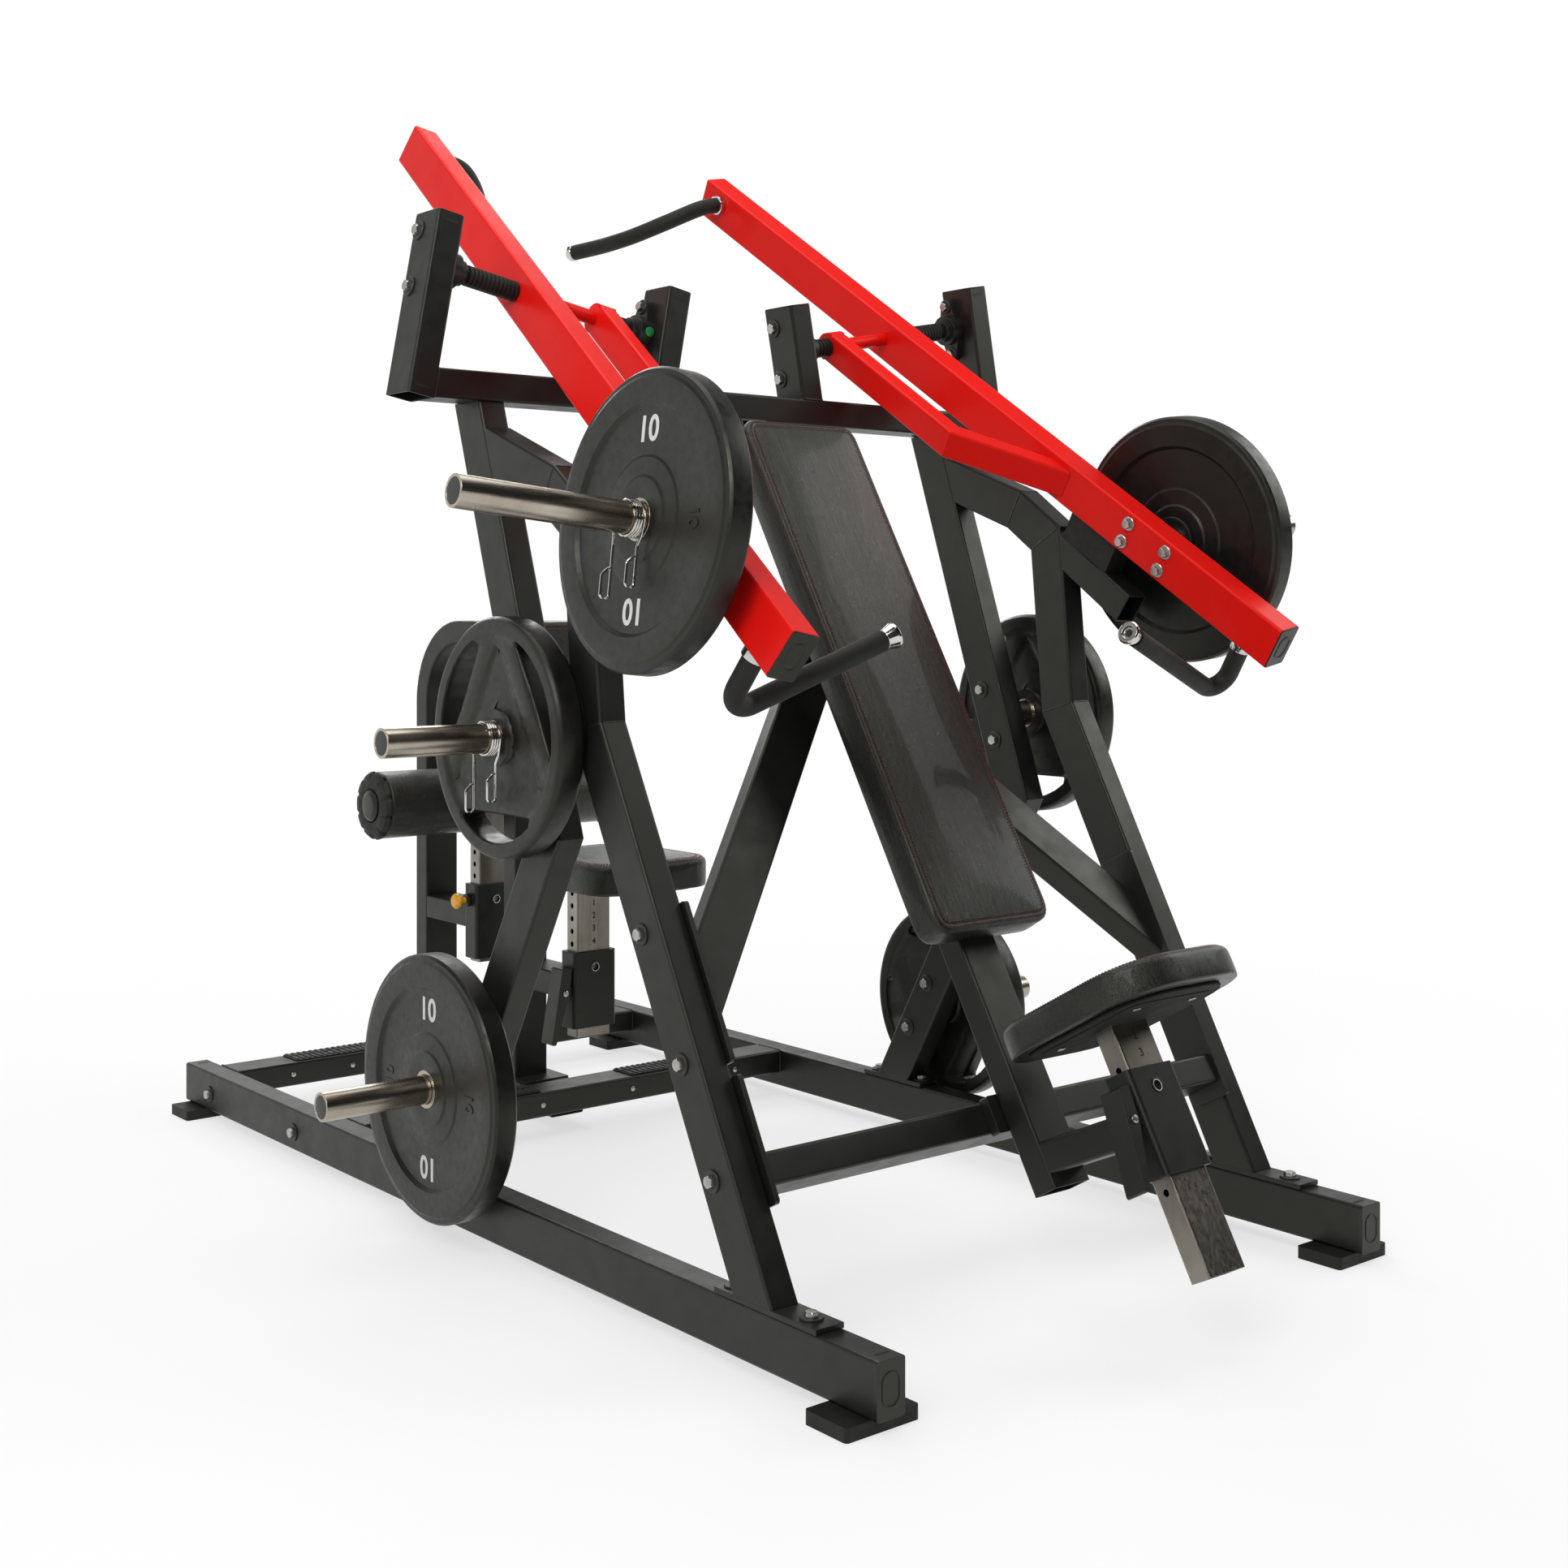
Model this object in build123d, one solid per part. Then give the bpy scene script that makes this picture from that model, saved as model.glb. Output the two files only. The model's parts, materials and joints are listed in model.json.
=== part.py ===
from build123d import *
from math import cos, hypot, radians, sin
import os

# Combination bench press and lat pulldown frame. Millimetres, +Z up, floor at z = 0.
# -Y is the press seat side, +Y the pulldown side, X = 0 is the plane of symmetry.
# Lengths along Y are set out from the rails' middle; DATUM_Y moves the finished
# pieces so that the whole machine is centred over the origin.
DATUM_Y = 63.64

# ---- driving dimensions -------------------------------------------------------
TUBE_W, TUBE_D = 80.0, 50.0          # frame tube section
WALL, CORNER = 3.0, 5.0              # frame tube wall and corner radius
STEEL_W, STEEL_D, STEEL_T = 80.0, 40.0, 2.5   # bright sliding tubes
GUIDE_W, GUIDE_D = 102.0, 52.0       # guides around the sliding tubes
SLIDE_GAP = 0.3                      # sliding tube to guide, each side
FACE_GAP = 0.3                       # between pieces that pass each other
FOOT_H = 20.0                        # rubber foot height
RAIL_X = (507.5, 557.5)              # rail and leg side faces
RAIL_HALF = 1107.0                   # half length of a rail
RAIL_TOP = FOOT_H + TUBE_W
LEG_X = 532.5                        # middle plane of rails and legs
BAR_Z = 75.0                         # cross bars' centre height
BAR_REAR_Y, BAR_MID_Y = RAIL_HALF - 107.0, 433.5
BASE_TUBE_Z = 47.0                   # low centre tube's centre height
PLATE_T = 8.0                        # bolted plates
BEAM_Y, BEAM_Z = -76.0, 1450.0       # top cross beam's centre
TILT = 10.6                          # arms lean inward, degrees
PIVOT = (-454.0, -58.0, 1624.0)      # pivot axis at the arm's outer face
ARM_DROP = 35.71                     # arm slope at rest, degrees
ARM_REAR, ARM_FRONT = -625.0, 1062.0 # arm ends, measured from the pivot
SHAFT_R, RUN_FIT = 12.5, 0.05        # pivot shaft and its running clearance
SLEEVE_R, PLATE_BORE = 24.0, 24.6    # plate sleeves' free length and the plates' bore
SEAT_R = 23.5                        # plate sleeves where plates and clips sit
LOAD_S, LOAD_LEN = 746.0, 387.0      # load sleeve place and length
BUMPER_R, BUMPER_T = 225.0, 48.0     # large rubber plates
GRIP_R, GRIP_T = 196.0, 50.0         # small plates with hand holes
GRIP_RIM, GRIP_BAR = 26.0, 122.0     # their rim width and the hand bar's far edge
SPINE_LEAN = 30.7                    # back pad post, degrees from vertical
PAD_W, PAD_L, PAD_T = 258.0, 979.0, 60.0
SEAT_LEAN = 29.3                     # press seat tube, degrees from vertical
PITCH = 26.0                         # adjustment hole pitch
HOLE_R = 5.5
ROLL_R, ROLL_X = 70.5, 276.0         # thigh rollers
ROLL_Y, ROLL_Z = 779.0, 660.0
ARCH_R = 160.0                       # arch tube's centre-line bend
ARCH_FRONT, ARCH_REAR, ARCH_Z = 636.0, 1015.0, 1024.0

X, Y, Z = Vector(1, 0, 0), Vector(0, 1, 0), Vector(0, 0, 1)


# ---- helpers --------------------------------------------------------------------
def ring(wide, deep, wall=WALL, corner=CORNER):
    """Hollow rectangular tube section."""
    inner = RectangleRounded(wide - 2 * wall, deep - 2 * wall, max(corner - wall, 0.8))
    return RectangleRounded(wide, deep, corner) - inner


def tube(start, end, across, wide=TUBE_W, deep=TUBE_D, wall=WALL, corner=CORNER):
    """Straight rectangular tube; `across` is the direction of its width."""
    a, b = Vector(*start), Vector(*end)
    plane = Plane(origin=a, x_dir=Vector(*across), z_dir=b - a)
    section = ring(wide, deep, wall, corner) if wall else RectangleRounded(wide, deep, corner)
    return extrude(plane * section, (b - a).length)


def trim(shape, origin, away):
    """Remove what lies beyond a plane, on the side `away` points to."""
    return split(shape, bisect_by=Plane(origin=Vector(*origin), z_dir=Vector(*away)),
                 keep=Keep.BOTTOM)


def mitred(points, across, wide=TUBE_D, deep=TUBE_W, wall=WALL):
    """Straight tubes joined end to end with mitred corners."""
    pts = [Vector(*p) for p in points]
    body = None
    for i in range(len(pts) - 1):
        a, b = pts[i], pts[i + 1]
        along = (b - a).normalized()
        lead = along * deep if i else along * 0
        tail = along * deep if i < len(pts) - 2 else along * 0
        piece = tube(a - lead, b + tail, across, wide, deep, wall)
        if i:
            piece = trim(piece, a, -(along + (a - pts[i - 1]).normalized()))
        if i < len(pts) - 2:
            piece = trim(piece, b, along + (pts[i + 2] - b).normalized())
        body = piece if body is None else body + piece
    return body


def rod(start, end, radius):
    """Solid round bar between two points."""
    a, b = Vector(*start), Vector(*end)
    return extrude(Plane(origin=a, z_dir=b - a) * Circle(radius), (b - a).length)


def bent_rod(path, radius):
    """Round bar swept along a path."""
    return sweep(Plane(origin=path @ 0, z_dir=path % 0) * Circle(radius), path=path)


def box(low, high, radius=0.0):
    """Box between two corners, with its edges rounded if asked."""
    size = [h - l for l, h in zip(low, high)]
    body = Pos(*[(l + h) / 2 for l, h in zip(low, high)]) * Box(*size)
    return fillet(body.edges(), radius) if radius else body


def bolt(at, out, head_r=9.0, head_h=8.0, washer_r=13.0):
    """Hexagon head on a washer, standing on a face."""
    plane = Plane(origin=Vector(*at), z_dir=Vector(*out))
    washer = extrude(plane * Circle(washer_r), 2.0)
    head = extrude(plane.offset(2.0) * RegularPolygon(head_r, 6), head_h)
    return washer + head


def turned(profile, at, along, bore=0.0):
    """Solid of revolution; the profile lists (radius, distance) from the axis."""
    points = [(0.0 if not bore else bore, profile[0][1])] + list(profile)
    points.append((points[0][0], profile[-1][1]))
    face = Plane.XZ * make_face(Polyline(*points, close=True))
    body = revolve(face, Axis.Z)
    return Plane(origin=Vector(*at), z_dir=Vector(*along)).location * body


def ribbed(at, along, length, crest, root, step=8.0):
    """Rubber sleeve with round-the-axis grooves."""
    profile, n = [], int(length // step)
    for i in range(n):
        base = length * i / n
        profile += [(crest, base + 0.1), (crest, base + step * 0.6), (root, base + step * 0.65),
                    (root, base + length / n - 0.5)]
    profile[0], profile[-1] = (crest, 0.0), (root, length)
    return turned(profile, at, along)


def both(*shapes):
    """The left-hand solids followed by their mirror images."""
    solids = [s for shape in shapes for s in shape.solids()]
    return solids + [mirror(s, about=Plane.YZ) for s in solids]


def solids_of(*shapes):
    return [s for shape in shapes for s in shape.solids()]


parts = {}


def put(name, *shapes):
    """Store a node and shift it to the row's origin."""
    solids = [s for shape in shapes for s in (shape if isinstance(shape, list) else shape.solids())]
    moved = [Pos(0, DATUM_Y, 0) * s for s in solids]
    parts[name] = moved[0] if len(moved) == 1 else Compound(children=moved)


def put_pair(name, *shapes):
    """Store the left node and its mirrored right node."""
    solids = solids_of(*shapes)
    put(name + "_left", solids)
    put(name + "_right", [mirror(s, about=Plane.YZ) for s in solids])


# ---- base -----------------------------------------------------------------------
CAP_T, CAP_IN = 6.0, 22.0
rail = tube((-LEG_X, -RAIL_HALF + CAP_T, FOOT_H + TUBE_W / 2),
            (-LEG_X, RAIL_HALF - CAP_T, FOOT_H + TUBE_W / 2), Z)
put_pair("rail", rail)

caps = []
for end in (-1, 1):
    flange_y = sorted((end * (RAIL_HALF - CAP_T), end * RAIL_HALF))
    plug_y = sorted((end * (RAIL_HALF - CAP_T - CAP_IN), end * (RAIL_HALF - CAP_T)))
    flange = box((RAIL_X[0] * -1 - TUBE_D, flange_y[0], FOOT_H),
                 (-RAIL_X[0], flange_y[1], RAIL_TOP))
    flange = fillet(flange.edges().filter_by(Axis.Y), CORNER)
    plug = box((-RAIL_X[1] + WALL + 1, plug_y[0], FOOT_H + WALL + 1),
               (-RAIL_X[0] - WALL - 1, plug_y[1], RAIL_TOP - WALL - 1))
    caps.append(flange + plug)
put("rail_end_caps", both(*caps))

FOOT_Y, FOOT_L, FOOT_W = 1050.0, 85.0, 130.0
feet = [fillet(box((-LEG_X - FOOT_W / 2, s * FOOT_Y - FOOT_L / 2, 0),
                   (-LEG_X + FOOT_W / 2, s * FOOT_Y + FOOT_L / 2, FOOT_H))
               .edges().filter_by(Axis.Z), 6) for s in (-1, 1)]
put("rubber_feet", both(*feet))

for name, y in (("crossbar_rear", BAR_REAR_Y), ("crossbar_middle", BAR_MID_Y)):
    put(name, tube((-RAIL_X[0], y, BAR_Z), (RAIL_X[0], y, BAR_Z), Y))
base_tube = tube((0, BAR_MID_Y + TUBE_W / 2, BASE_TUBE_Z),
                 (0, BAR_REAR_Y - TUBE_W / 2, BASE_TUBE_Z), X)
put("base_tube", base_tube)

TREAD_X, TREAD_T, RIB = (110.0, 370.0), 3.0, 5.0
treads = []
for y in (BAR_REAR_Y, BAR_MID_Y):
    top = BAR_Z + TUBE_D / 2
    pad = box((-TREAD_X[1], y - 34, top), (-TREAD_X[0], y + 34, top + TREAD_T))
    for i in range(7):
        rib_y = y - 30 + 10 * i
        pad += box((-TREAD_X[1], rib_y - RIB / 2, top + TREAD_T),
                   (-TREAD_X[0], rib_y + RIB / 2, top + TREAD_T + 2))
    treads.append(pad)
put("foot_treads", both(*treads))

# ---- legs and top beam -----------------------------------------------------------
LEG_FOOT_Z = RAIL_TOP + PLATE_T
REAR_TOP, REAR_KINK, REAR_FOOT = (-69.0, 1424.0), (-311.0, 712.0), (32.0, 100.0)
BRACE_IN, BRACE_OUT = (-120.0, 1342.6), (-320.0, 1268.0)
SHOULDER, KNEE, FRONT_FOOT = (-402.0, 1209.0), (-432.0, 889.0), (-850.0, 100.0)
BEAM_BOTTOM, BEAM_TOP = BEAM_Z - TUBE_D / 2, BEAM_Z + TUBE_D / 2


def on_leg(y, z):
    return (-LEG_X, y, z)


def beyond(a, b, extra):
    """Point past b on the line from a."""
    k = 1 + extra / hypot(b[0] - a[0], b[1] - a[1])
    return (a[0] + (b[0] - a[0]) * k, a[1] + (b[1] - a[1]) * k)


rear_leg = mitred([on_leg(*beyond(REAR_KINK, REAR_TOP, 60)), on_leg(*REAR_KINK),
                   on_leg(*beyond(REAR_KINK, REAR_FOOT, 60))], X)
rear_leg = trim(trim(rear_leg, (0, 0, BEAM_BOTTOM), Z), (0, 0, LEG_FOOT_Z), -Z)
put_pair("rear_leg", rear_leg)

rear_dir = Vector(0, REAR_TOP[0] - REAR_KINK[0], REAR_TOP[1] - REAR_KINK[1]).normalized()
rear_front = Vector(0, -rear_dir.Z, rear_dir.Y)       # leg's forward normal
rear_face = Vector(0, *REAR_KINK) + rear_front * (TUBE_W / 2)
front_leg = mitred([on_leg(*BRACE_IN), on_leg(*BRACE_OUT), on_leg(*SHOULDER), on_leg(*KNEE),
                    on_leg(*beyond(KNEE, FRONT_FOOT, 60))], X)
front_leg = trim(trim(front_leg, rear_face, -rear_front), (0, 0, LEG_FOOT_Z), -Z)
put_pair("front_leg", front_leg)

tilt = radians(TILT)
W_DIR = Vector(cos(tilt), 0, -sin(tilt))              # inward along the pivot
U_DIR = Vector(sin(tilt), 0, cos(tilt))               # up the posts
Q = Vector(*PIVOT)


def on_pivot(k, u=0.0, y=PIVOT[1]):
    """Point k along the left pivot axis and u up the post."""
    p = Q + W_DIR * k + U_DIR * u
    return Vector(p.X, y, p.Z)


OUTER_POST, INNER_POST = (-200.0, -150.0), (278.0, 328.0)
beam = tube((-760, BEAM_Y, BEAM_Z), (760, BEAM_Y, BEAM_Z), Y)
beam = trim(beam, on_pivot(OUTER_POST[1]), -W_DIR)
beam = trim(beam, Vector(-on_pivot(OUTER_POST[1]).X, BEAM_Y, on_pivot(OUTER_POST[1]).Z),
            Vector(W_DIR.X, 0, -W_DIR.Z))
put("crossbeam", beam)

outer_post = tube(on_pivot(-175, -233, BEAM_Y), on_pivot(-175, 77, BEAM_Y), Y)
inner_post = tube(on_pivot(303, -140, BEAM_Y), on_pivot(303, 84, BEAM_Y), Y)
inner_post = trim(inner_post, (0, 0, BEAM_TOP), -Z)
put_pair("pivot_posts", outer_post, inner_post)

# ---- back pad post and its struts -------------------------------------------------
lean = radians(SPINE_LEAN)
A_DIR = Vector(0, sin(lean), cos(lean))               # up the post
B_DIR = Vector(0, cos(lean), -sin(lean))              # from its front face to its rear
SPINE_AT = Vector(0, -815.0, 400.0)


def on_spine(x, a, b):
    return SPINE_AT + A_DIR * a + B_DIR * b + X * x


SPINE_LOW, SPINE_HIGH = -241.0, 1172.0
spine = tube(on_spine(0, SPINE_LOW, TUBE_D / 2), on_spine(0, SPINE_HIGH, TUBE_D / 2), X)
neck = tube(on_spine(0, SPINE_HIGH - 60, TUBE_D / 2), (0, BEAM_Y + 10, BEAM_Z), X, 60, 50)
neck = trim(trim(neck, (0, 0, BEAM_BOTTOM), Z), on_spine(0, 0, TUBE_D), -B_DIR)
put("spine", spine, neck)

STRUT_LEG, STRUT_APEX = Vector(-501, -642, 496), Vector(0, -322, 987)
STRUT_FACE = Vector(-0.232, -0.900, 0.352)            # outward normal of a strut's wide face
strut_dir = (STRUT_APEX - STRUT_LEG).normalized()
strut = tube(STRUT_LEG - strut_dir * 120, STRUT_APEX + strut_dir * 120,
             strut_dir.cross(STRUT_FACE))
strut = trim(trim(strut, (-RAIL_X[0] + PLATE_T, 0, 0), -X), (0, 0, 0), X)
face_at = STRUT_APEX + strut_dir.cross(STRUT_FACE).cross(strut_dir).normalized() * (TUBE_D / 2)
hub_a = (face_at - SPINE_AT).dot(A_DIR)
hub = tube(on_spine(0, hub_a, TUBE_D), on_spine(0, hub_a, TUBE_D + 160), X, TUBE_W, 60)
for side in (-1, 1):
    hub = trim(hub, face_at, (side * STRUT_FACE.X, -STRUT_FACE.Y, -STRUT_FACE.Z))
put("struts", strut + mirror(strut, about=Plane.YZ) + hub)

CROSS_B = 68.0
front_bar = tube(on_spine(-RAIL_X[0] + PLATE_T, -103, CROSS_B + TUBE_W / 2),
                 on_spine(RAIL_X[0] - PLATE_T, -103, CROSS_B + TUBE_W / 2), B_DIR)
put("front_crossbar", front_bar)

# ---- press seat -------------------------------------------------------------------
seat_lean = radians(SEAT_LEAN)
T_DIR = Vector(0, -sin(seat_lean), -cos(seat_lean))   # down the seat tube
G_DIR = Vector(0, -cos(seat_lean), sin(seat_lean))    # towards the seat's front edge
SEAT_AT = Vector(0, -1144.9, 251.0)


def on_seat(x, t, g):
    return SEAT_AT + T_DIR * t + G_DIR * g + X * x


def guide(start, end, across, inner=(STEEL_W, STEEL_D)):
    """Square-cut guide that a bright tube slides in."""
    a, b = Vector(*start), Vector(*end)
    plane = Plane(origin=a, x_dir=Vector(*across), z_dir=b - a)
    hole = RectangleRounded(inner[0] + 2 * SLIDE_GAP, inner[1] + 2 * SLIDE_GAP, 4 + SLIDE_GAP)
    return extrude(plane * (RectangleRounded(GUIDE_W, GUIDE_D, 8) - hole), (b - a).length)


def hole_row(start, end, out, depth, count):
    """Round cutters spaced along a line."""
    a, b = Vector(*start), Vector(*end)
    return [rod(a + (b - a) * (i / (count - 1)) - Vector(*out) * depth / 2,
                a + (b - a) * (i / (count - 1)) + Vector(*out) * depth / 2, HOLE_R)
            for i in range(count)]


def bright_tube(start, end, across, first, holes):
    """Bright sliding tube with a row of adjustment holes on its left face."""
    body = tube(start, end, across, STEEL_W, STEEL_D, STEEL_T, 4.0)
    a, along = Vector(*start), (Vector(*end) - Vector(*start)).normalized()
    left = a + along * first - X * (STEEL_W / 2)
    for cutter in hole_row(left, left + along * PITCH * (holes - 1), X, 12, holes):
        body -= cutter
    return body


LEVER_OUT, LEVER_HALF, LEVER_WALL = 19.0, 20.0, 3.0   # axis off the guide, half width, wall
LEVER_X = -GUIDE_W / 2 - LEVER_OUT
LUG_HALF = LEVER_HALF - LEVER_WALL - 3.0
LEVER_TOP, LEVER_END = -49.0, 102.0


def lever_plane(pivot, along, front):
    """Plane across a lever's axis: x down the guide, y towards it, z to the front."""
    return Plane(origin=Vector(*pivot), x_dir=Vector(*along), z_dir=Vector(*front))


def lever(pivot, along, front):
    """Tapered channel that rocks on a screw across its sides, open towards the guide."""
    plane = lever_plane(pivot, along, front)
    side = make_face(Polyline((LEVER_TOP, 16), (LEVER_TOP, -7), (LEVER_END, -33),
                              (LEVER_END, -22), (6, 9), close=True))
    side = fillet(side.vertices().filter_by(lambda v: v.Y < -5), 4)
    hollow = make_face(Polyline((LEVER_TOP + LEVER_WALL, 40), (LEVER_TOP + LEVER_WALL, -3.6),
                                (LEVER_END - LEVER_WALL, -29), (LEVER_END - LEVER_WALL, 40),
                                close=True))
    body = extrude(plane * side, LEVER_HALF, both=True)
    body -= extrude(plane * hollow, LEVER_HALF - LEVER_WALL, both=True)
    for way in (Vector(*front), -Vector(*front)):
        body += rod(pivot + way * (LUG_HALF + FACE_GAP), pivot + way * LEVER_HALF, 4)
        body += rod(pivot + way * LEVER_HALF, pivot + way * (LEVER_HALF + 3), 6)
    return body


def lever_lug(pivot, along, front):
    """Block on the guide's face that carries a lever between its two sides."""
    low, high = -6.0, LEVER_OUT + 1.0
    return extrude(lever_plane(pivot, along, front) * Pos(0, (low + high) / 2)
                   * Rectangle(18, high - low), LUG_HALF, both=True)


GUIDE_TOP, GUIDE_LOW, SEAT_LOW = -159.0, -2.0, 147.0
SEAT_MID = 12.0
SEAT_UNDER, SEAT_TOP, SEAT_BOARD = -234.0, -288.0, 6.0
seat_guide = guide(on_seat(0, GUIDE_TOP, 0), on_seat(0, GUIDE_LOW, 0), X)
window = Plane(origin=on_seat(0, -128, GUIDE_D / 2), z_dir=G_DIR)
seat_guide -= extrude(window * Circle(9), 20, both=True)
SEAT_PIVOT = on_seat(LEVER_X, -89, 2)
put("seat_guide", seat_guide + lever_lug(SEAT_PIVOT, T_DIR, G_DIR))
put("seat_lever", lever(SEAT_PIVOT, T_DIR, G_DIR))

beam_high, beam_low = on_spine(0, -198, -40), on_seat(0, -80, 0)
seat_beam = tube(beam_high * 2 - beam_low, beam_low, X)
seat_beam = trim(trim(seat_beam, on_spine(0, 0, 0), B_DIR), on_seat(0, 0, -GUIDE_D / 2), G_DIR)
put("seat_beam", seat_beam)

put("seat_tube", bright_tube(on_seat(0, SEAT_LOW, 0), on_seat(0, SEAT_UNDER + SEAT_BOARD, 0),
                             X, 128, 8),
    fillet(extrude(Plane(origin=on_seat(0, SEAT_UNDER + SEAT_BOARD, SEAT_MID), x_dir=X, z_dir=-T_DIR)
                   * Rectangle(180, 220), SEAT_BOARD).edges().filter_by(
                       lambda e: abs(e.length - SEAT_BOARD) < 0.01), 20))
seat_pad = extrude(Plane(origin=on_seat(0, SEAT_UNDER, SEAT_MID), x_dir=X, z_dir=-T_DIR)
                   * RectangleRounded(280, 345, 98), SEAT_UNDER - SEAT_TOP)
seat_pad = fillet(seat_pad.faces().sort_by(Axis((0, 0, 0), tuple(-T_DIR)))[-1].edges(), 20)
put("seat_pad", seat_pad)

# ---- back pad ----------------------------------------------------------------------
PAD_LOW = 164.0
pad_plane = Plane(origin=on_spine(0, PAD_LOW + PAD_L / 2, 0), x_dir=X, z_dir=-B_DIR)
back_pad = extrude(pad_plane * RectangleRounded(PAD_W, PAD_L, 26), PAD_T)
back_pad = fillet(back_pad.faces().sort_by(Axis((0, 0, 0), tuple(-B_DIR)))[-1].edges(), 12)
put("back_pad", back_pad)

# ---- pulldown side -----------------------------------------------------------------
COLUMN_PLATE_Z = BASE_TUBE_Z + TUBE_D / 2 + PLATE_T
arch_path = FilletPolyline((0, ARCH_REAR, BAR_Z + TUBE_D / 2), (0, ARCH_REAR, ARCH_Z),
                           (0, ARCH_FRONT, ARCH_Z), (0, ARCH_FRONT, COLUMN_PLATE_Z),
                           radius=ARCH_R)
start = Plane(origin=arch_path @ 0, x_dir=X, z_dir=arch_path % 0)
arch = sweep(start * RectangleRounded(TUBE_W, TUBE_D, CORNER), path=arch_path)
arch -= sweep(start * RectangleRounded(TUBE_W - 2 * WALL, TUBE_D - 2 * WALL, CORNER - WALL),
              path=arch_path)
put("arch", arch)

COLUMN_FRONT, REAR_POST_FRONT = ARCH_FRONT - TUBE_D / 2, ARCH_REAR - TUBE_D / 2
chest_pad = box((-130, 545, 809), (130, 605, 1049))
chest_pad = fillet(chest_pad.edges().filter_by(Axis.Y), 22)
chest_pad = fillet(chest_pad.faces().sort_by(Axis.Y)[0].edges(), 16)
put("chest_pad", chest_pad)

LAT_Y, LAT_GUIDE_Z, LAT_LOW, LAT_TOP = 393.5, (223.0, 377.0), 204.0, 523.0
lat_guide = guide((0, LAT_Y, LAT_GUIDE_Z[0]), (0, LAT_Y, LAT_GUIDE_Z[1]), X)
lat_guide -= rod((0, LAT_Y - 40, 345), (0, LAT_Y - 10, 345), 9)
lat_link = tube((0, LAT_Y + GUIDE_D / 2, 300), (0, COLUMN_FRONT, 300), X)
LAT_PIVOT = Vector(LEVER_X, LAT_Y - 2, 298)
put("lat_guide", lat_guide + lever_lug(LAT_PIVOT, -Z, -Y), lat_link)
put("lat_seat_tube", bright_tube((0, LAT_Y, LAT_LOW), (0, LAT_Y, LAT_TOP - SEAT_BOARD), X, 188, 5),
    box((-90, 200, LAT_TOP - SEAT_BOARD), (90, 440, LAT_TOP)))
lat_pad = box((-145, 138, LAT_TOP), (145, 470, 587))
lat_pad = fillet(lat_pad.edges().filter_by(Axis.Z), 70)
lat_pad = fillet(lat_pad.faces().sort_by(Axis.Z)[-1].edges(), 18)
put("lat_seat_pad", lat_pad)
put("lat_lever", lever(LAT_PIVOT, -Z, -Y))

ROLL_GUIDE_Z, ROLL_TUBE_LOW, LINK_Z = (313.0, 474.0), 305.0, 400.0
roller_guide = guide((0, ROLL_Y, ROLL_GUIDE_Z[0]), (0, ROLL_Y, ROLL_GUIDE_Z[1]), X)
roller_guide -= rod((0, ROLL_Y - 40, 440), (0, ROLL_Y - 10, 440), 9)
roller_link = tube((0, ROLL_Y + GUIDE_D / 2 + 1, LINK_Z), (0, REAR_POST_FRONT, LINK_Z), X)
PIN_Z, PIN_R = 440.0, 6.0
bush = turned([(14, 0), (14, 12)], (-GUIDE_W / 2, ROLL_Y, PIN_Z), -X)
pin_hole = rod((-GUIDE_W / 2 - 20, ROLL_Y, PIN_Z), (-STEEL_W / 2 - 1, ROLL_Y, PIN_Z),
               PIN_R + RUN_FIT)
put("roller_guide", (roller_guide + bush) - pin_hole, roller_link)
PIN_TIP = -STEEL_W / 2 - 2.0
put("pull_pin", rod((PIN_TIP, ROLL_Y, PIN_Z), (-GUIDE_W / 2 - 14, ROLL_Y, PIN_Z), PIN_R)
    + turned([(11, 0), (13, 4), (15, 14), (15, 26), (12, 30)],
             (-GUIDE_W / 2 - 12 - FACE_GAP, ROLL_Y, PIN_Z), -X))
AXLE_R, HUB_X = 12.0, 46.0
roller_tube = bright_tube((0, ROLL_Y, ROLL_TUBE_LOW), (0, ROLL_Y, ROLL_Z), X, 186, 5)
axle = rod((-ROLL_X - 22, ROLL_Y, ROLL_Z), (ROLL_X + 22, ROLL_Y, ROLL_Z), AXLE_R)
put("roller_tube", roller_tube - axle, axle)
ROLL_CAP_R, ROLL_CAP = ROLL_R + 1.5, 16.0
foam = ROLL_X - HUB_X
roller = turned([(ROLL_R - 6, 0), (ROLL_R, 6), (ROLL_R, foam), (ROLL_CAP_R, foam),
                 (ROLL_CAP_R, foam + ROLL_CAP - 8), (ROLL_CAP_R - 12, foam + ROLL_CAP)],
                (-HUB_X, ROLL_Y, ROLL_Z), -X, AXLE_R + RUN_FIT)
put_pair("roller", roller)

# ---- bolted plates -----------------------------------------------------------------
plates = []
for y0, y1 in ((-985, -760), (-56, 114)):
    plates.append(box((-RAIL_X[1], y0, RAIL_TOP), (-RAIL_X[0], y1, RAIL_TOP + PLATE_T)))
front_dir = Vector(0, KNEE[0] - FRONT_FOOT[0], KNEE[1] - FRONT_FOOT[1]).normalized()
for y, z, length in ((-643, 510, 250), (-760, 300, 190)):
    plane = Plane(origin=(-RAIL_X[0], y, z), x_dir=front_dir, z_dir=X)
    plates.append(extrude(plane * RectangleRounded(length, TUBE_W, 6), PLATE_T))
bracket = tube(on_spine(0, -103, TUBE_D), on_spine(0, -103, CROSS_B), X, 120, 60, 0, 4)
base_plate = box((-60, 560, COLUMN_PLATE_Z - PLATE_T), (60, 712, COLUMN_PLATE_Z))
chest_board = box((-80, 605, 840), (80, COLUMN_FRONT, 1000))
put("flange_plates", both(*plates), bracket, base_plate, chest_board)

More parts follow.
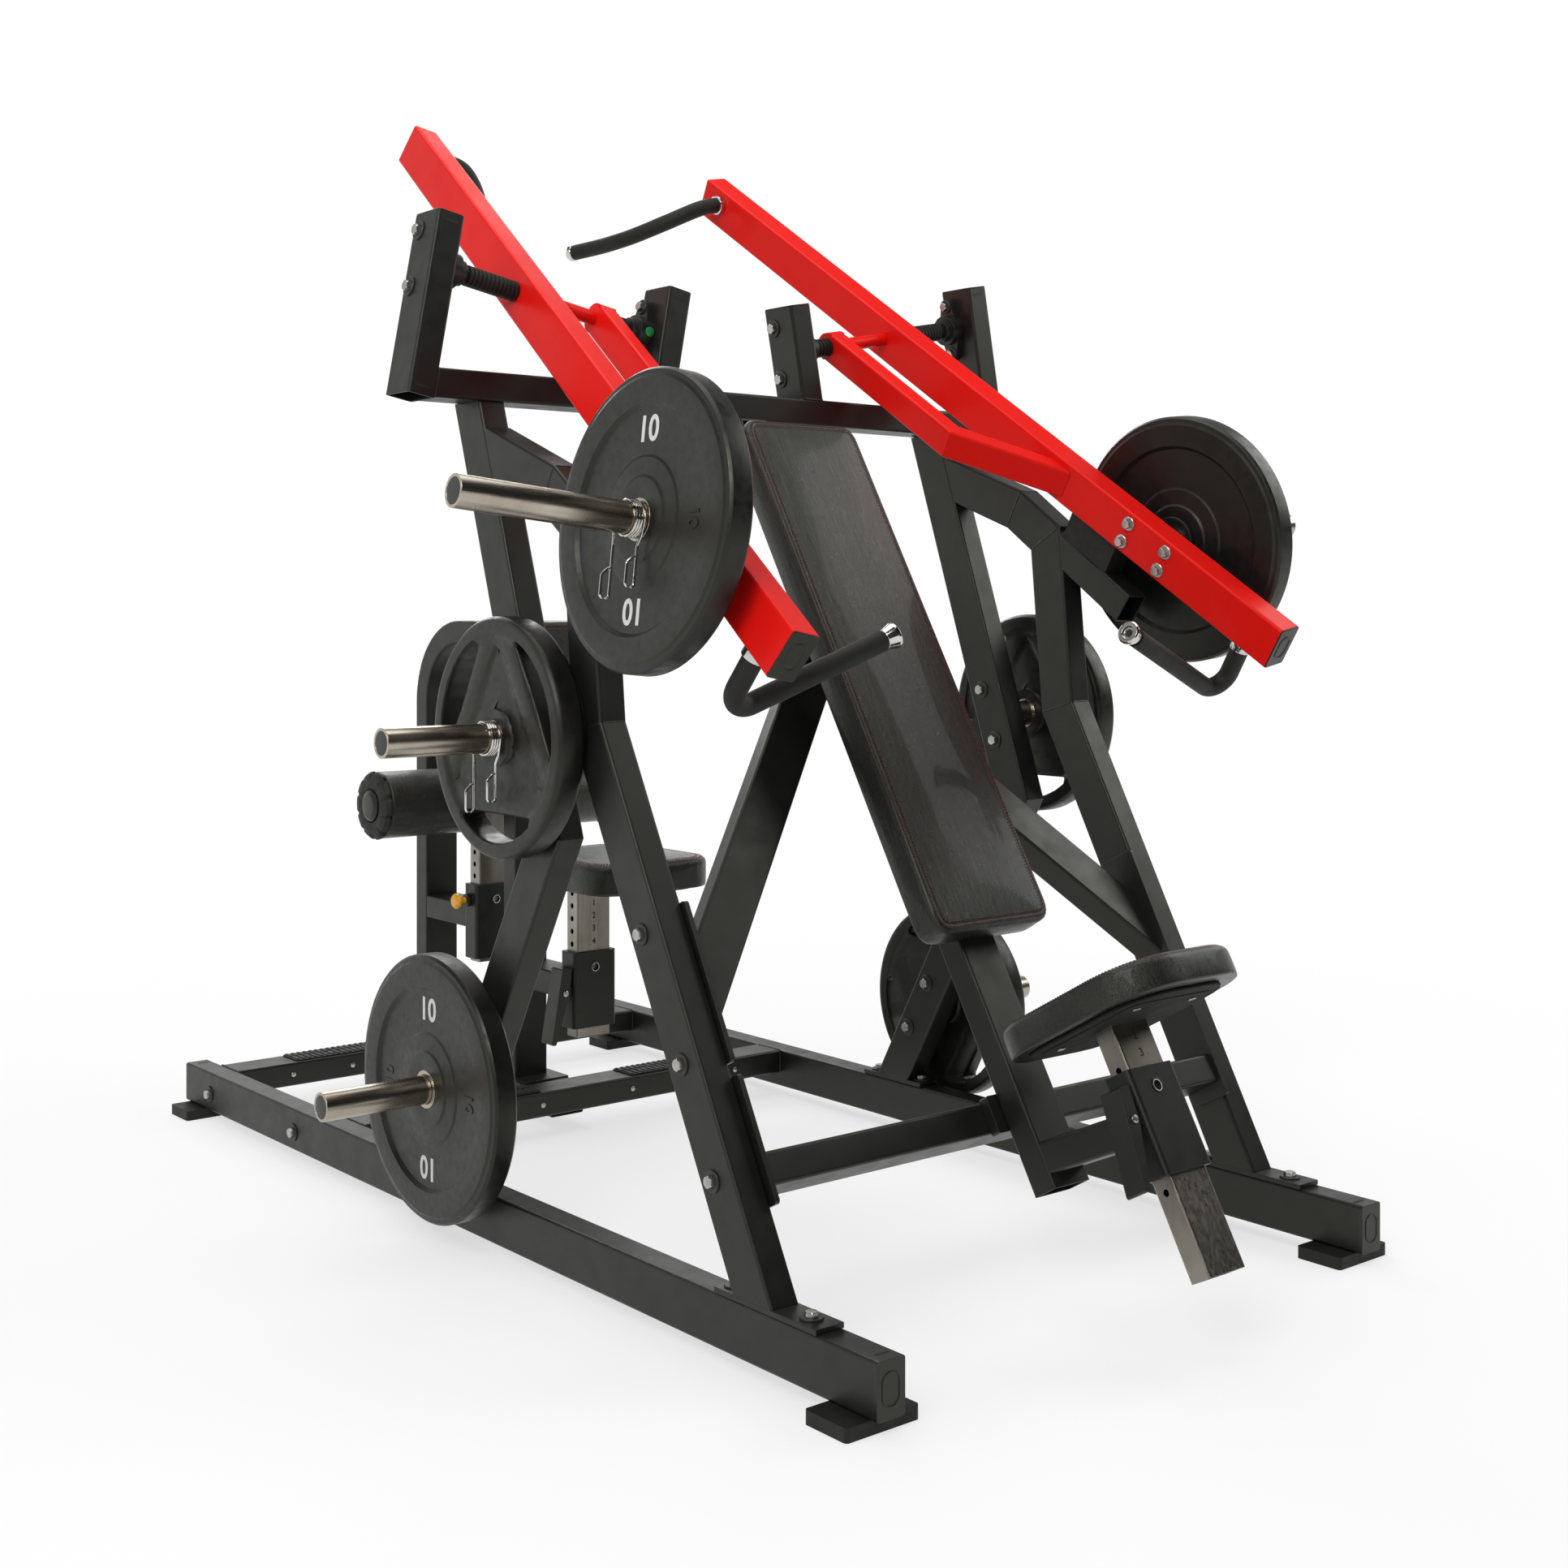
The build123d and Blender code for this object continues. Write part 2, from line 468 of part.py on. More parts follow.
# ---- arm stops ----------------------------------------------------------------------
ARM = Plane(origin=Q, x_dir=Vector(-sin(tilt) * sin(radians(ARM_DROP)), -cos(radians(ARM_DROP)),
                                   -cos(tilt) * sin(radians(ARM_DROP))), z_dir=W_DIR)


def on_arm(s, t, k):
    """Point s along the arm, t below its centre line and k in from its outer face."""
    return ARM.origin + ARM.x_dir * s + ARM.y_dir * t + W_DIR * k


drop = radians(ARM_DROP)
S_DIR, N_DIR = Vector(0, -cos(drop), -sin(drop)), Vector(0, -sin(drop), cos(drop))
BLOCK_T, BLOCK_W, BLOCK_K = 67.0, 50.0, 10.0
STOP_DEEP, STOP_REACH = 58.0, 75.0                   # stub tube and its length past the block
STOP_S = (567.0, 684.0)                              # the block's span along the arm
block_top = on_arm(STOP_S[1], TUBE_W / 2 + FACE_GAP, BLOCK_K)
stop_top = block_top - N_DIR * BLOCK_T
stop_line = Vector(-LEG_X, stop_top.Y, stop_top.Z) - N_DIR * (STOP_DEEP / 2)
stop_arm = tube(stop_line - S_DIR * 330, stop_line + S_DIR * STOP_REACH, X, TUBE_D, STOP_DEEP)
shoulder_dir = Vector(0, SHOULDER[0] - KNEE[0], SHOULDER[1] - KNEE[1]).normalized()
shoulder_out = Vector(0, -shoulder_dir.Z, shoulder_dir.Y)
stop_arm = trim(stop_arm, Vector(0, *KNEE) + shoulder_out * (TUBE_W / 2), -shoulder_out)
put("stop_arms", both(stop_arm))
block_drop = TUBE_W / 2 + FACE_GAP + BLOCK_T
block = tube(on_arm(STOP_S[0], block_drop, BLOCK_K), on_arm(STOP_S[1], block_drop, BLOCK_K),
             W_DIR, BLOCK_W, 2 * BLOCK_T, 0, 6)
block = trim(block, stop_top, -N_DIR)
put("stop_blocks", both(block))

# ---- arms -----------------------------------------------------------------------------
def in_arm(shape):
    return ARM.location * shape


arm_tube = tube((ARM_REAR, 0, 25), (ARM_FRONT, 0, 25), Z, TUBE_D, TUBE_W)
ends = [extrude(Plane(origin=(end, 0, 25), x_dir=Z, z_dir=X * way)
                * RectangleRounded(TUBE_D - 2 * WALL, TUBE_W - 2 * WALL, 2), 10)
        for end, way in ((ARM_REAR, 1), (ARM_FRONT, -1))]
put_pair("arm", in_arm(arm_tube + ends[0] + ends[1]))

BRACE_T, BRACE_K, BRACE_IN_K = 56.0, 35.0, 165.0
BRACE_KINK, BRACE_END = 355.0, 515.0
mid_k = BRACE_IN_K + BRACE_K / 2
slope = Vector(BRACE_END - BRACE_KINK, 0, TUBE_D - mid_k)
brace = mitred([(0, 0, mid_k), (BRACE_KINK, 0, mid_k),
                Vector(BRACE_END, 0, TUBE_D) + slope.normalized() * 60],
               (0, 1, 0), BRACE_T, BRACE_K, 2.5)
brace = trim(brace, (0, 0, TUBE_D), -Z)
nose = extrude(Plane(origin=(0, 0, BRACE_IN_K)) * Circle(BRACE_T / 2), BRACE_K)
brace = brace + trim(nose, (0, 0, 0), X)
cross = rod((0, 0, TUBE_D), (0, 0, BRACE_IN_K), 13)
put_pair("arm_brace", in_arm(brace), in_arm(cross))

shaft_out = rod((0, 0, -148), (0, 0, -100), SHAFT_R)
shaft_in = rod((0, 0, 235), (0, 0, 276), SHAFT_R)
sleeve_out = ribbed((0, 0, -100), Z, 100, 18, 15.5)
sleeve_in = ribbed((0, 0, BRACE_IN_K + BRACE_K), Z, 35, 18, 15.5)
put_pair("pivot_shaft", in_arm(shaft_out + sleeve_out), in_arm(sleeve_in + shaft_in))


BEARING_R, BEARING_T, BEARING_FLANGE, BEARING_LUG_R, BOLT_U = 30.0, 40.0, 14.0, 14.0, 48.5


def bearing(k, way):
    """Two-bolt flange bearing standing off a post."""
    lugs = [Pos(u, 0) * Circle(BEARING_LUG_R) for u in (-BOLT_U, BOLT_U)]
    outline = make_hull((Circle(BEARING_R - 4) + lugs).edges())
    body = extrude(outline, BEARING_FLANGE)
    body += extrude(Circle(BEARING_R), BEARING_T * 0.7)
    body += extrude(Circle(BEARING_R - 8), BEARING_T)
    body -= extrude(Circle(SHAFT_R + RUN_FIT), BEARING_T)
    return Plane(origin=on_pivot(k), x_dir=U_DIR, z_dir=W_DIR * way).location * body


put("bearings", both(bearing(OUTER_POST[1], 1), bearing(INNER_POST[0], -1)))

HANDLE_R = 16.5
PRESS_ROOT = on_arm(993, TUBE_W / 2, 25)
PRESS_BEND, PRESS_END = Vector(-557, -775, 920), Vector(-285, -817, 1028)
press_path = FilletPolyline(PRESS_ROOT + ARM.y_dir * 3, PRESS_BEND, PRESS_END, radius=45)
press = bent_rod(press_path, HANDLE_R)
collar = extrude(Plane(origin=PRESS_ROOT, z_dir=ARM.y_dir) * Circle(20), 14)
cone_dir = (PRESS_END - PRESS_BEND).normalized()
cone = turned([(12, 0), (15, 3), (20, 19), (20, 23), (17, 25)], PRESS_END, cone_dir)
put_pair("press_handle", press + collar + cone)

LAT_ROOT = on_arm(-567, -9, TUBE_D)
LAT_END, LAT_TIP_DIR = (-140, 656, 1857), (0.32, 0.94, -0.08)
lat_pts = [tuple(LAT_ROOT + W_DIR * 3), (-290, 400, 1933), (-234, 446, 1903), (-192, 510, 1878),
           (-166, 580, 1865), LAT_END]
lat_path = Spline(*lat_pts, tangents=[tuple(W_DIR), LAT_TIP_DIR])
lat_bar = bent_rod(lat_path, HANDLE_R)
lat_collar = extrude(Plane(origin=LAT_ROOT, z_dir=W_DIR) * Circle(20), 12)
lat_tip = turned([(HANDLE_R, 0), (18, 1), (18, 10), (14, 16)], LAT_END,
                 LAT_TIP_DIR)
put_pair("lat_handle", lat_bar + lat_collar + lat_tip)


# ---- plate sleeves and plates ----------------------------------------------------------
CLIP_R, CLIP_T, WIRE_R, CLIP_REACH = 31.0, 22.0, 3.0, 104.0


def spring_collar(at, along):
    """Coiled clip with two finger wires that hang down."""
    body = turned([(CLIP_R, 0), (CLIP_R, CLIP_T)], at, along, SEAT_R + FACE_GAP)
    plane = Plane(origin=Vector(*at), x_dir=Z, z_dir=Vector(*along))
    length = CLIP_REACH - CLIP_R + 3
    for angle, height in ((168, CLIP_T * 0.28), (192, CLIP_T * 0.72)):
        wire = Rot(0, 0, angle) * Pos(CLIP_R - 3 + length / 2, 0, height) * Rot(0, 90, 0)
        body += plane.location * wire * Cylinder(WIRE_R, length)
    return body


def sleeve(at, along, start, free, end):
    """Round plate sleeve with its reduced seat up to `free` and its full size past it."""
    return (rod(at + along * start, at + along * free, SEAT_R)
            + rod(at + along * free, at + along * end, SLEEVE_R))


SINK, STOP_R, STOP_T, PLAY = 30.0, 44.0, 10.0, 1.0
PLATE_AT = SINK + STOP_T
LOAD_FREE = PLATE_AT + BUMPER_T + PLAY + CLIP_T + PLAY
six, two = radians(6.0), radians(2.0)
LOAD_DIR = Vector(-cos(six) * cos(two), sin(two) * cos(six), sin(six))
LOAD_AT = on_arm(LOAD_S, 0, 0)
load_sleeve = sleeve(LOAD_AT, LOAD_DIR, -10, LOAD_FREE, LOAD_LEN)
load_sleeve += rod(LOAD_AT + LOAD_DIR * SINK, LOAD_AT + LOAD_DIR * PLATE_AT, STOP_R)
load_sleeve = trim(load_sleeve, LOAD_AT, W_DIR)
load_flange = in_arm(extrude(Plane(origin=(LOAD_S, 0, 0), z_dir=(0, 0, -1))
                             * RectangleRounded(128, 64, 8), 8))
load_bolts = [in_arm(bolt((LOAD_S + ds, dt, -8), (0, 0, -1), 7, 6, 9))
              for ds in (-46.5, 46.5) for dt in (-19.5, 19.5)]
load_nuts = [in_arm(bolt((LOAD_S + ds, dt, TUBE_D), Z, 9, 9, 13))
             for ds in (-46.5, 46.5) for dt in (-19.5, 19.5)]
load_body = load_sleeve + load_flange
for head in load_bolts:
    load_body += head


def bumper(at, along):
    """Large rubber plate with a raised rim and a steel hub."""
    h = BUMPER_T
    return turned([(50, 0), (56, 5), (160, 5), (172, 0), (BUMPER_R - 5, 0), (BUMPER_R, 5),
                   (BUMPER_R, h - 5), (BUMPER_R - 5, h), (172, h), (160, h - 5), (56, h - 5),
                   (50, h)], at, along, PLATE_BORE)


def grip_plate(at, along, turn):
    """Small plate with three hand holes near its rim."""
    h = GRIP_T
    body = turned([(44, 0), (50, 8), (130, 8), (142, 0), (GRIP_R - 5, 0), (GRIP_R, 5),
                   (GRIP_R, h - 5), (GRIP_R - 5, h), (142, h), (130, h - 8), (50, h - 8),
                   (44, h)], at, along, PLATE_BORE)
    plane = Plane(origin=Vector(*at), x_dir=Z, z_dir=Vector(*along))
    opening = Circle(GRIP_R - GRIP_RIM) & Pos(GRIP_BAR + GRIP_R / 2, 0) * Rectangle(GRIP_R, 230)
    for i in range(3):
        body -= plane.location * Rot(0, 0, turn + 120 * i) * extrude(opening, h)
    return body


clip = spring_collar(LOAD_AT + LOAD_DIR * (PLATE_AT + BUMPER_T + PLAY), LOAD_DIR)
put_pair("load_sleeve", load_body, clip, *load_nuts)
put_pair("load_plate", bumper(LOAD_AT + LOAD_DIR * PLATE_AT, LOAD_DIR))

MID_AT, LOW_AT, STORE_END = (-251.0, 868.0), (-47.0, 267.0), 815.0
STORE_FLANGE, COLLAR_T, COLLAR_R, MID_RIGHT_OUT = 7.5, 12.0, 40.0, 45.0


def store(at, towards, free):
    """Storage sleeve on its flange, lined up with the leg; `free` is its seat's end."""
    leg_dir = Vector(0, towards[0] - REAR_KINK[0], towards[1] - REAR_KINK[1]).normalized()
    root = Vector(-RAIL_X[1], *at)
    flange = extrude(Plane(origin=root, x_dir=leg_dir, z_dir=-X) * RectangleRounded(130, 74, 8),
                     STORE_FLANGE)
    return flange + sleeve(root, -X, 0, free, STORE_END - RAIL_X[1])


def stored(out, low_plate_t):
    """Both left-hand sleeves and the middle clip; `out` moves the middle plate off its flange."""
    mid_face = STORE_FLANGE + out + GRIP_T + PLAY
    low_face = STORE_FLANGE + COLLAR_T + low_plate_t + PLAY
    middle = store(MID_AT, REAR_TOP, mid_face + CLIP_T + PLAY)
    low = store(LOW_AT, REAR_FOOT, low_face)
    root = Vector(-RAIL_X[1], *LOW_AT)
    low += rod(root, root - X * (STORE_FLANGE + COLLAR_T), COLLAR_R)
    return middle, low, spring_collar((-RAIL_X[1] - mid_face, *MID_AT), -X)


put("storage_sleeves_left", *stored(0.0, BUMPER_T))
put("storage_sleeves_right", [mirror(s, about=Plane.YZ)
                              for s in solids_of(*stored(MID_RIGHT_OUT, GRIP_T))])
mid_x = -RAIL_X[1] - STORE_FLANGE
low_left = (mid_x - COLLAR_T, *LOW_AT)
put("mid_plate_left", grip_plate((mid_x, *MID_AT), -X, 60))
put("mid_plate_right", mirror(grip_plate((mid_x - MID_RIGHT_OUT, *MID_AT), -X, 60).solids()[0],
                              about=Plane.YZ))
put("low_plate_left", bumper(low_left, -X))
put("low_plate_right", mirror(grip_plate(low_left, -X, 0).solids()[0], about=Plane.YZ))

# ---- fasteners ---------------------------------------------------------------------------
heads = []
for y in (-946, -778, 92, -34):
    heads.append(bolt((-LEG_X, y, RAIL_TOP + PLATE_T), Z))
for y, z in ((-580, 588), (-681, 411), (-756, 257)):
    heads.append(bolt((-RAIL_X[1], y, z), -X))
for y in (BAR_REAR_Y - 15, BAR_MID_Y + 156):
    heads.append(bolt((-RAIL_X[1], y, 55), -X))
for k, way in ((OUTER_POST[0], -1), (INNER_POST[1], 1)):
    for u in (-48.5, 48.5):
        heads.append(bolt(on_pivot(k, u), W_DIR * way))
for k, way in ((OUTER_POST[1] + 14, 1), (INNER_POST[0] - 14, -1)):
    for u in (-48.5, 48.5):
        heads.append(bolt(on_pivot(k, u), W_DIR * way, 8, 7, 11))
for y, z in ((-233, 916), (-269, 819), (-75, 315), (-20, 218)):
    heads.append(bolt((-RAIL_X[0], y, z), X))
put("frame_bolts", both(*heads))

# ---- export -------------------------------------------------------------------------------
os.makedirs("parts", exist_ok=True)
for name, shape in parts.items():
    export_step(shape, os.path.join("parts", name + ".step"))
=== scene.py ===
"""A plate-loaded press bench and pulldown station, dressed for display.

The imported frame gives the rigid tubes.  This script adds the upholstery, the
plates, the grips, the clips, the fasteners and every finish.  Lengths are
millimetres in the sizes below and metres in the scene; `metres` joins the two.
"""

import json
import logging
import math
from dataclasses import dataclass
from enum import Enum
from typing import Optional, Sequence

import bmesh
import bpy
import numpy as np
from mathutils import Matrix

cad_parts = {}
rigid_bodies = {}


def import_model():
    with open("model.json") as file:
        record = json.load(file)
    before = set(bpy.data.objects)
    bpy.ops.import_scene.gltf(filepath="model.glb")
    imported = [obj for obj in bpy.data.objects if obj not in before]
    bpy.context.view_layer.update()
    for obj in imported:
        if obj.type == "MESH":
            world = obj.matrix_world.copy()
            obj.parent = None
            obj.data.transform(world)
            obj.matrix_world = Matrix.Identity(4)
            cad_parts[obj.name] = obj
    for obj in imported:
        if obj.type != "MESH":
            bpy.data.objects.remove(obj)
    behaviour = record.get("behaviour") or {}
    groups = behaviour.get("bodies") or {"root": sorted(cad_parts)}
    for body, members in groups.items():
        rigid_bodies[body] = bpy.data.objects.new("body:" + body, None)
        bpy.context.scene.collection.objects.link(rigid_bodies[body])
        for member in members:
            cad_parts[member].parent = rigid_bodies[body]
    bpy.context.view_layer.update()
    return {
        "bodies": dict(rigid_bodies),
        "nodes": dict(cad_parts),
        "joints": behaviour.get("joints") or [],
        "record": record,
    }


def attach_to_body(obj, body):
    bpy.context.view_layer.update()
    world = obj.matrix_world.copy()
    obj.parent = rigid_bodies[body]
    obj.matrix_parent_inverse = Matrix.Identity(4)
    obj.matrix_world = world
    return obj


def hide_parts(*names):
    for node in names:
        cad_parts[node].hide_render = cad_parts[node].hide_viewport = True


LOG = logging.getLogger("bench")
MM = 0.001
DATUM_Y = 63.64          # the rails' middle lies this far behind the origin
LEG_X, RAIL_OUT, RAIL_IN = 532.5, 557.5, 507.5
TUBE_W, TUBE_D = 80.0, 50.0
BEAM_Y = -76.0           # the top beam's and the posts' middle plane
ROLLER_Y, ROLLER_Z = 779.0, 660.0
LEVER_X = -70.0          # the release levers' middle plane
WARM = (1.0, 1.0, 0.84, 1.0)     # tint of what paint, rubber and vinyl reflect
SQUARE = ((1, 1), (1, -1), (-1, -1), (-1, 1))    # a rectangle's corners, by sign
TILT, ARM_DROP = math.radians(10.6), math.radians(35.71)
SPINE_LEAN, SEAT_LEAN = math.radians(30.7), math.radians(29.3)
Array = np.ndarray


# ---- sizes and directions ---------------------------------------------------
def vec(*values: float) -> Array:
    """A float array of the given numbers."""
    return np.array(values, dtype=float)


def unit(v: Array) -> Array:
    """The vector, or each row, divided by its length."""
    return v / np.linalg.norm(v, axis=-1, keepdims=True)


X, Y, Z = vec(1, 0, 0), vec(0, 1, 0), vec(0, 0, 1)


def metres(points: Array) -> Array:
    """Millimetres from the rails' middle to metres from the object's origin."""
    return (points + vec(0, DATUM_Y, 0)) * MM


@dataclass(frozen=True)
class Axes:
    """Right-handed axes in which a piece is laid out, in millimetres.

    Attributes:
        origin: where the piece's own zero lies.
        x: first direction, a unit vector.
        z: third direction, a unit vector square to x.
    """

    origin: Array
    x: Array
    z: Array

    @classmethod
    def facing(cls, origin: Array, z: Array, x: Optional[Array] = None) -> "Axes":
        """Axes whose z is given and whose x leans as near as it can to a hint.

        Args:
            origin: the axes' zero.
            z: the facing direction.
            x: the hint; a direction square to z is chosen when it is missing.

        Returns:
            The axes.
        """
        z = unit(vec(*z))
        hint = x if x is not None else (X if abs(z[0]) < 0.8 else Z)
        return cls(vec(*origin), unit(hint - z * np.dot(hint, z)), z)

    @property
    def y(self) -> Array:
        """Second direction."""
        return np.cross(self.z, self.x)

    def at(self, x: float, y: float, z: float) -> Array:
        """The place of one local point."""
        return self.origin + self.x * x + self.y * y + self.z * z

    def put(self, local: Array) -> Array:
        """The places of an array of local points, (..., 3)."""
        return self.origin + local @ np.stack((self.x, self.y, self.z))


FLAT = Axes(vec(0, 0, 0), X, Z)
PIVOT = vec(-454, -58, 1624)
W_DIR = vec(math.cos(TILT), 0, -math.sin(TILT))
U_DIR = vec(math.sin(TILT), 0, math.cos(TILT))
ARM = Axes(PIVOT, vec(-math.sin(TILT) * math.sin(ARM_DROP), -math.cos(ARM_DROP),
                      -math.cos(TILT) * math.sin(ARM_DROP)), W_DIR)
A_DIR = vec(0, math.sin(SPINE_LEAN), math.cos(SPINE_LEAN))
B_DIR = vec(0, math.cos(SPINE_LEAN), -math.sin(SPINE_LEAN))
SPINE_AT = vec(0, -815, 400)
T_DIR = vec(0, -math.sin(SEAT_LEAN), -math.cos(SEAT_LEAN))
G_DIR = vec(0, -math.cos(SEAT_LEAN), math.sin(SEAT_LEAN))
SEAT_AT = vec(0, -1144.9, 251)


def on_spine(x: float, a: float, b: float) -> Array:
    """Point x across, a up the pad's post and b behind its front face."""
    return SPINE_AT + X * x + A_DIR * a + B_DIR * b


def on_seat(x: float, t: float, g: float) -> Array:
    """Point x across, t down the seat tube and g in front of its middle."""
    return SEAT_AT + X * x + T_DIR * t + G_DIR * g


def on_pivot(k: float, u: float) -> Array:
    """Point k along the left pivot axis and u up its post."""
    return PIVOT + W_DIR * k + U_DIR * u


# ---- shells: surfaces worked out on grids -----------------------------------
@dataclass
class Shell:
    """A surface as an array of points and an array of four-cornered faces."""

    points: Array
    faces: Array

    @classmethod
    def grid(cls, points: Array, wrap_rows: bool = False, wrap_cols: bool = False) -> "Shell":
        """Joins neighbouring grid points with faces.

        Args:
            points: (rows, columns, 3).
            wrap_rows: the last row joins the first.
            wrap_cols: the last column joins the first.

        Returns:
            The shell.
        """
        rows, cols = points.shape[:2]
        i = np.arange(rows if wrap_rows else rows - 1)[:, None]
        j = np.arange(cols if wrap_cols else cols - 1)[None, :]
        i2, j2 = (i + 1) % rows, (j + 1) % cols
        faces = np.stack(np.broadcast_arrays(i * cols + j, i * cols + j2,
                                             i2 * cols + j2, i2 * cols + j), axis=-1)
        return cls(points.reshape(-1, 3), faces.reshape(-1, 4))

    @classmethod
    def joined(cls, shells: Sequence["Shell"]) -> "Shell":
        """Several shells as one.

        Args:
            shells: the shells.

        Returns:
            One shell.
        """
        starts = np.cumsum([0] + [len(s.points) for s in shells[:-1]])
        return cls(np.concatenate([s.points for s in shells]),
                   np.concatenate([s.faces + n for s, n in zip(shells, starts)]))

    def mirrored(self) -> "Shell":
        """The same shell on the other side of the middle plane."""
        return Shell(self.points * vec(-1, 1, 1), self.faces[:, ::-1])

    def with_twin(self) -> "Shell":
        """The shell and its mirror image."""
        return Shell.joined([self, self.mirrored()])

    def copied(self, places: Sequence[Axes]) -> "Shell":
        """A copy of a locally laid out shell in each of the places."""
        return Shell.joined([Shell(p.put(self.points), self.faces) for p in places])


def rounded_path(corners: Sequence, radius: float, steps: int = 8, closed: bool = False) -> Array:
    """A polyline whose corners are arcs.

    Each arc runs between the two tangent points at radius / tan(half angle) from
    its corner, or nearer where a side is too short for that, and its points are
    the blend of the two end radii by the sines of the angle gone and left.

    Args:
        corners: the polyline's corners, in two or three dimensions.
        radius: the arcs' radius.
        steps: faces along each arc.
        closed: whether the last corner joins the first.

    Returns:
        The path's points in order.
    """
    c = np.array(corners, dtype=float)
    mid = c if closed else c[1:-1]
    before = np.roll(c, 1, 0) if closed else c[:-2]
    after = np.roll(c, -1, 0) if closed else c[2:]
    a, b = unit(before - mid), unit(after - mid)
    half = np.arccos(np.clip((a * b).sum(-1), -1, 1))[:, None] / 2
    room = np.minimum(np.linalg.norm(before - mid, axis=1), np.linalg.norm(after - mid, axis=1))
    reach = np.minimum(radius / np.tan(half), 0.47 * room[:, None])
    fit = reach * np.tan(half)
    start, end = mid + a * reach, mid + b * reach
    centre = mid + unit(a + b + 1e-12) * fit / np.sin(half)
    turn = np.maximum(math.pi - 2 * half, 1e-6)[:, None]
    s = np.linspace(0, 1, steps + 1)[None, :, None]
    arc = (np.sin((1 - s) * turn) * (start - centre)[:, None]
           + np.sin(s * turn) * (end - centre)[:, None]) / np.sin(turn) + centre[:, None]
    arc = arc.reshape(-1, c.shape[1])
    return arc if closed else np.concatenate([c[:1], arc, c[-1:]])


def flowing_path(points: Sequence, count: int = 12) -> Array:
    """A smooth line through points: on each span, the Catmull-Rom cubic.

    Args:
        points: what the line passes through.
        count: steps on each span.

    Returns:
        The line's points.
    """
    p = np.array(points, dtype=float)
    p = np.concatenate([[2 * p[0] - p[1]], p, [2 * p[-1] - p[-2]]])
    a, b, c, d = (p[i:len(p) - 3 + i, None] for i in range(4))
    t = np.linspace(0, 1, count, endpoint=False)[None, :, None]
    line = 0.5 * (2 * b + (c - a) * t + (2 * a - 5 * b + 4 * c - d) * t ** 2
                  + (3 * b - a - 3 * c + d) * t ** 3)
    return np.concatenate([line.reshape(-1, p.shape[1]), p[-2:-1]])


def closed_ring(ring: Array) -> tuple[Array, Array]:
    """The ring with its first point repeated, and the length gone at each point."""
    looped = np.concatenate([ring, ring[:1]])
    return looped, np.concatenate([[0], np.cumsum(np.linalg.norm(np.diff(looped, axis=0), axis=1))])


def walked(line: Array, gone: Array, at: Array) -> Array:
    """The points of a line at the given lengths along it."""
    return np.stack([np.interp(at, gone, line[:, i]) for i in range(line.shape[1])], axis=-1)


def smooth_step(v: Array, low: float, high: float) -> Array:
    """Rises from 0 at the low value to 1 at the high one, level at both."""
    t = np.clip((v - low) / (high - low), 0, 1)
    return t * t * (3 - 2 * t)


def circle(radius: float, count: int = 16) -> Array:
    """Points round a circle."""
    a = np.arange(count) * math.tau / count
    return np.stack((radius * np.cos(a), radius * np.sin(a)), axis=-1)


def rectangle(wide: float, deep: float, corner: float, steps: int = 5) -> Array:
    """Points round a rectangle with arcs at its corners."""
    w, d = wide / 2, deep / 2
    return rounded_path([(w, -d), (w, d), (-w, d), (-w, -d)], corner, steps, closed=True)


def turned(profile: Sequence, axes: Axes, count: int = 64, ring: bool = False) -> Shell:
    """A profile of (radius, height) pairs turned once round the z axis.

    Args:
        profile: the pairs in order; an open profile starts and ends on the axis.
        axes: the axes to turn it in.
        count: faces round the axis.
        ring: whether the profile is closed, as a ring's is.

    Returns:
        The shell.
    """
    p = np.array(profile, dtype=float)
    a = np.arange(count) * math.tau / count
    r, h = p[:, :1], p[:, 1:]
    local = np.stack((r * np.cos(a), r * np.sin(a), h + 0 * a), axis=-1)
    return Shell.grid(axes.put(local), wrap_rows=ring, wrap_cols=True)


def soft_turned(profile: Sequence, radius: float, axes: Axes, count: int = 64,
                ring: bool = False, steps: int = 4) -> Shell:
    """A turned shell whose profile corners are rounded to a radius."""
    return turned(rounded_path(profile, radius, steps, ring), axes, count, ring)


def swept(path: Array, section: Array, up: Array, closed: bool = False,
          swell: Optional[Array] = None) -> Shell:
    """A section carried along a path, square to it.

    The section's second direction is the part of `up` that is square to the path.

    Args:
        path: (n, 3) points.
        section: (m, 2) points round the section.
        up: a direction that the path never runs along.
        closed: whether the path's end joins its start.
        swell: a factor on the section at each path point.

    Returns:
        The shell, with closed ends if the path is open.
    """
    ahead = np.roll(path, -1, 0) - np.roll(path, 1, 0) if closed else np.gradient(path, axis=0)
    side = unit(np.cross(unit(ahead), up))
    top = np.cross(side, unit(ahead))
    size = np.ones(len(path)) if swell is None else swell
    rings = (path[:, None] + side[:, None] * section[None, :, :1] * size[:, None, None]
             + top[:, None] * section[None, :, 1:] * size[:, None, None])
    if not closed:
        rings = np.concatenate([0 * rings[:1] + path[0], rings, 0 * rings[:1] + path[-1]])
    return Shell.grid(rings, wrap_rows=closed, wrap_cols=True)


def layered(rings: Sequence) -> Array:
    """Grid points from (outline, height) pairs, a row for each outline."""
    return np.stack([np.column_stack((o, np.full(len(o), h))) for o, h in rings])


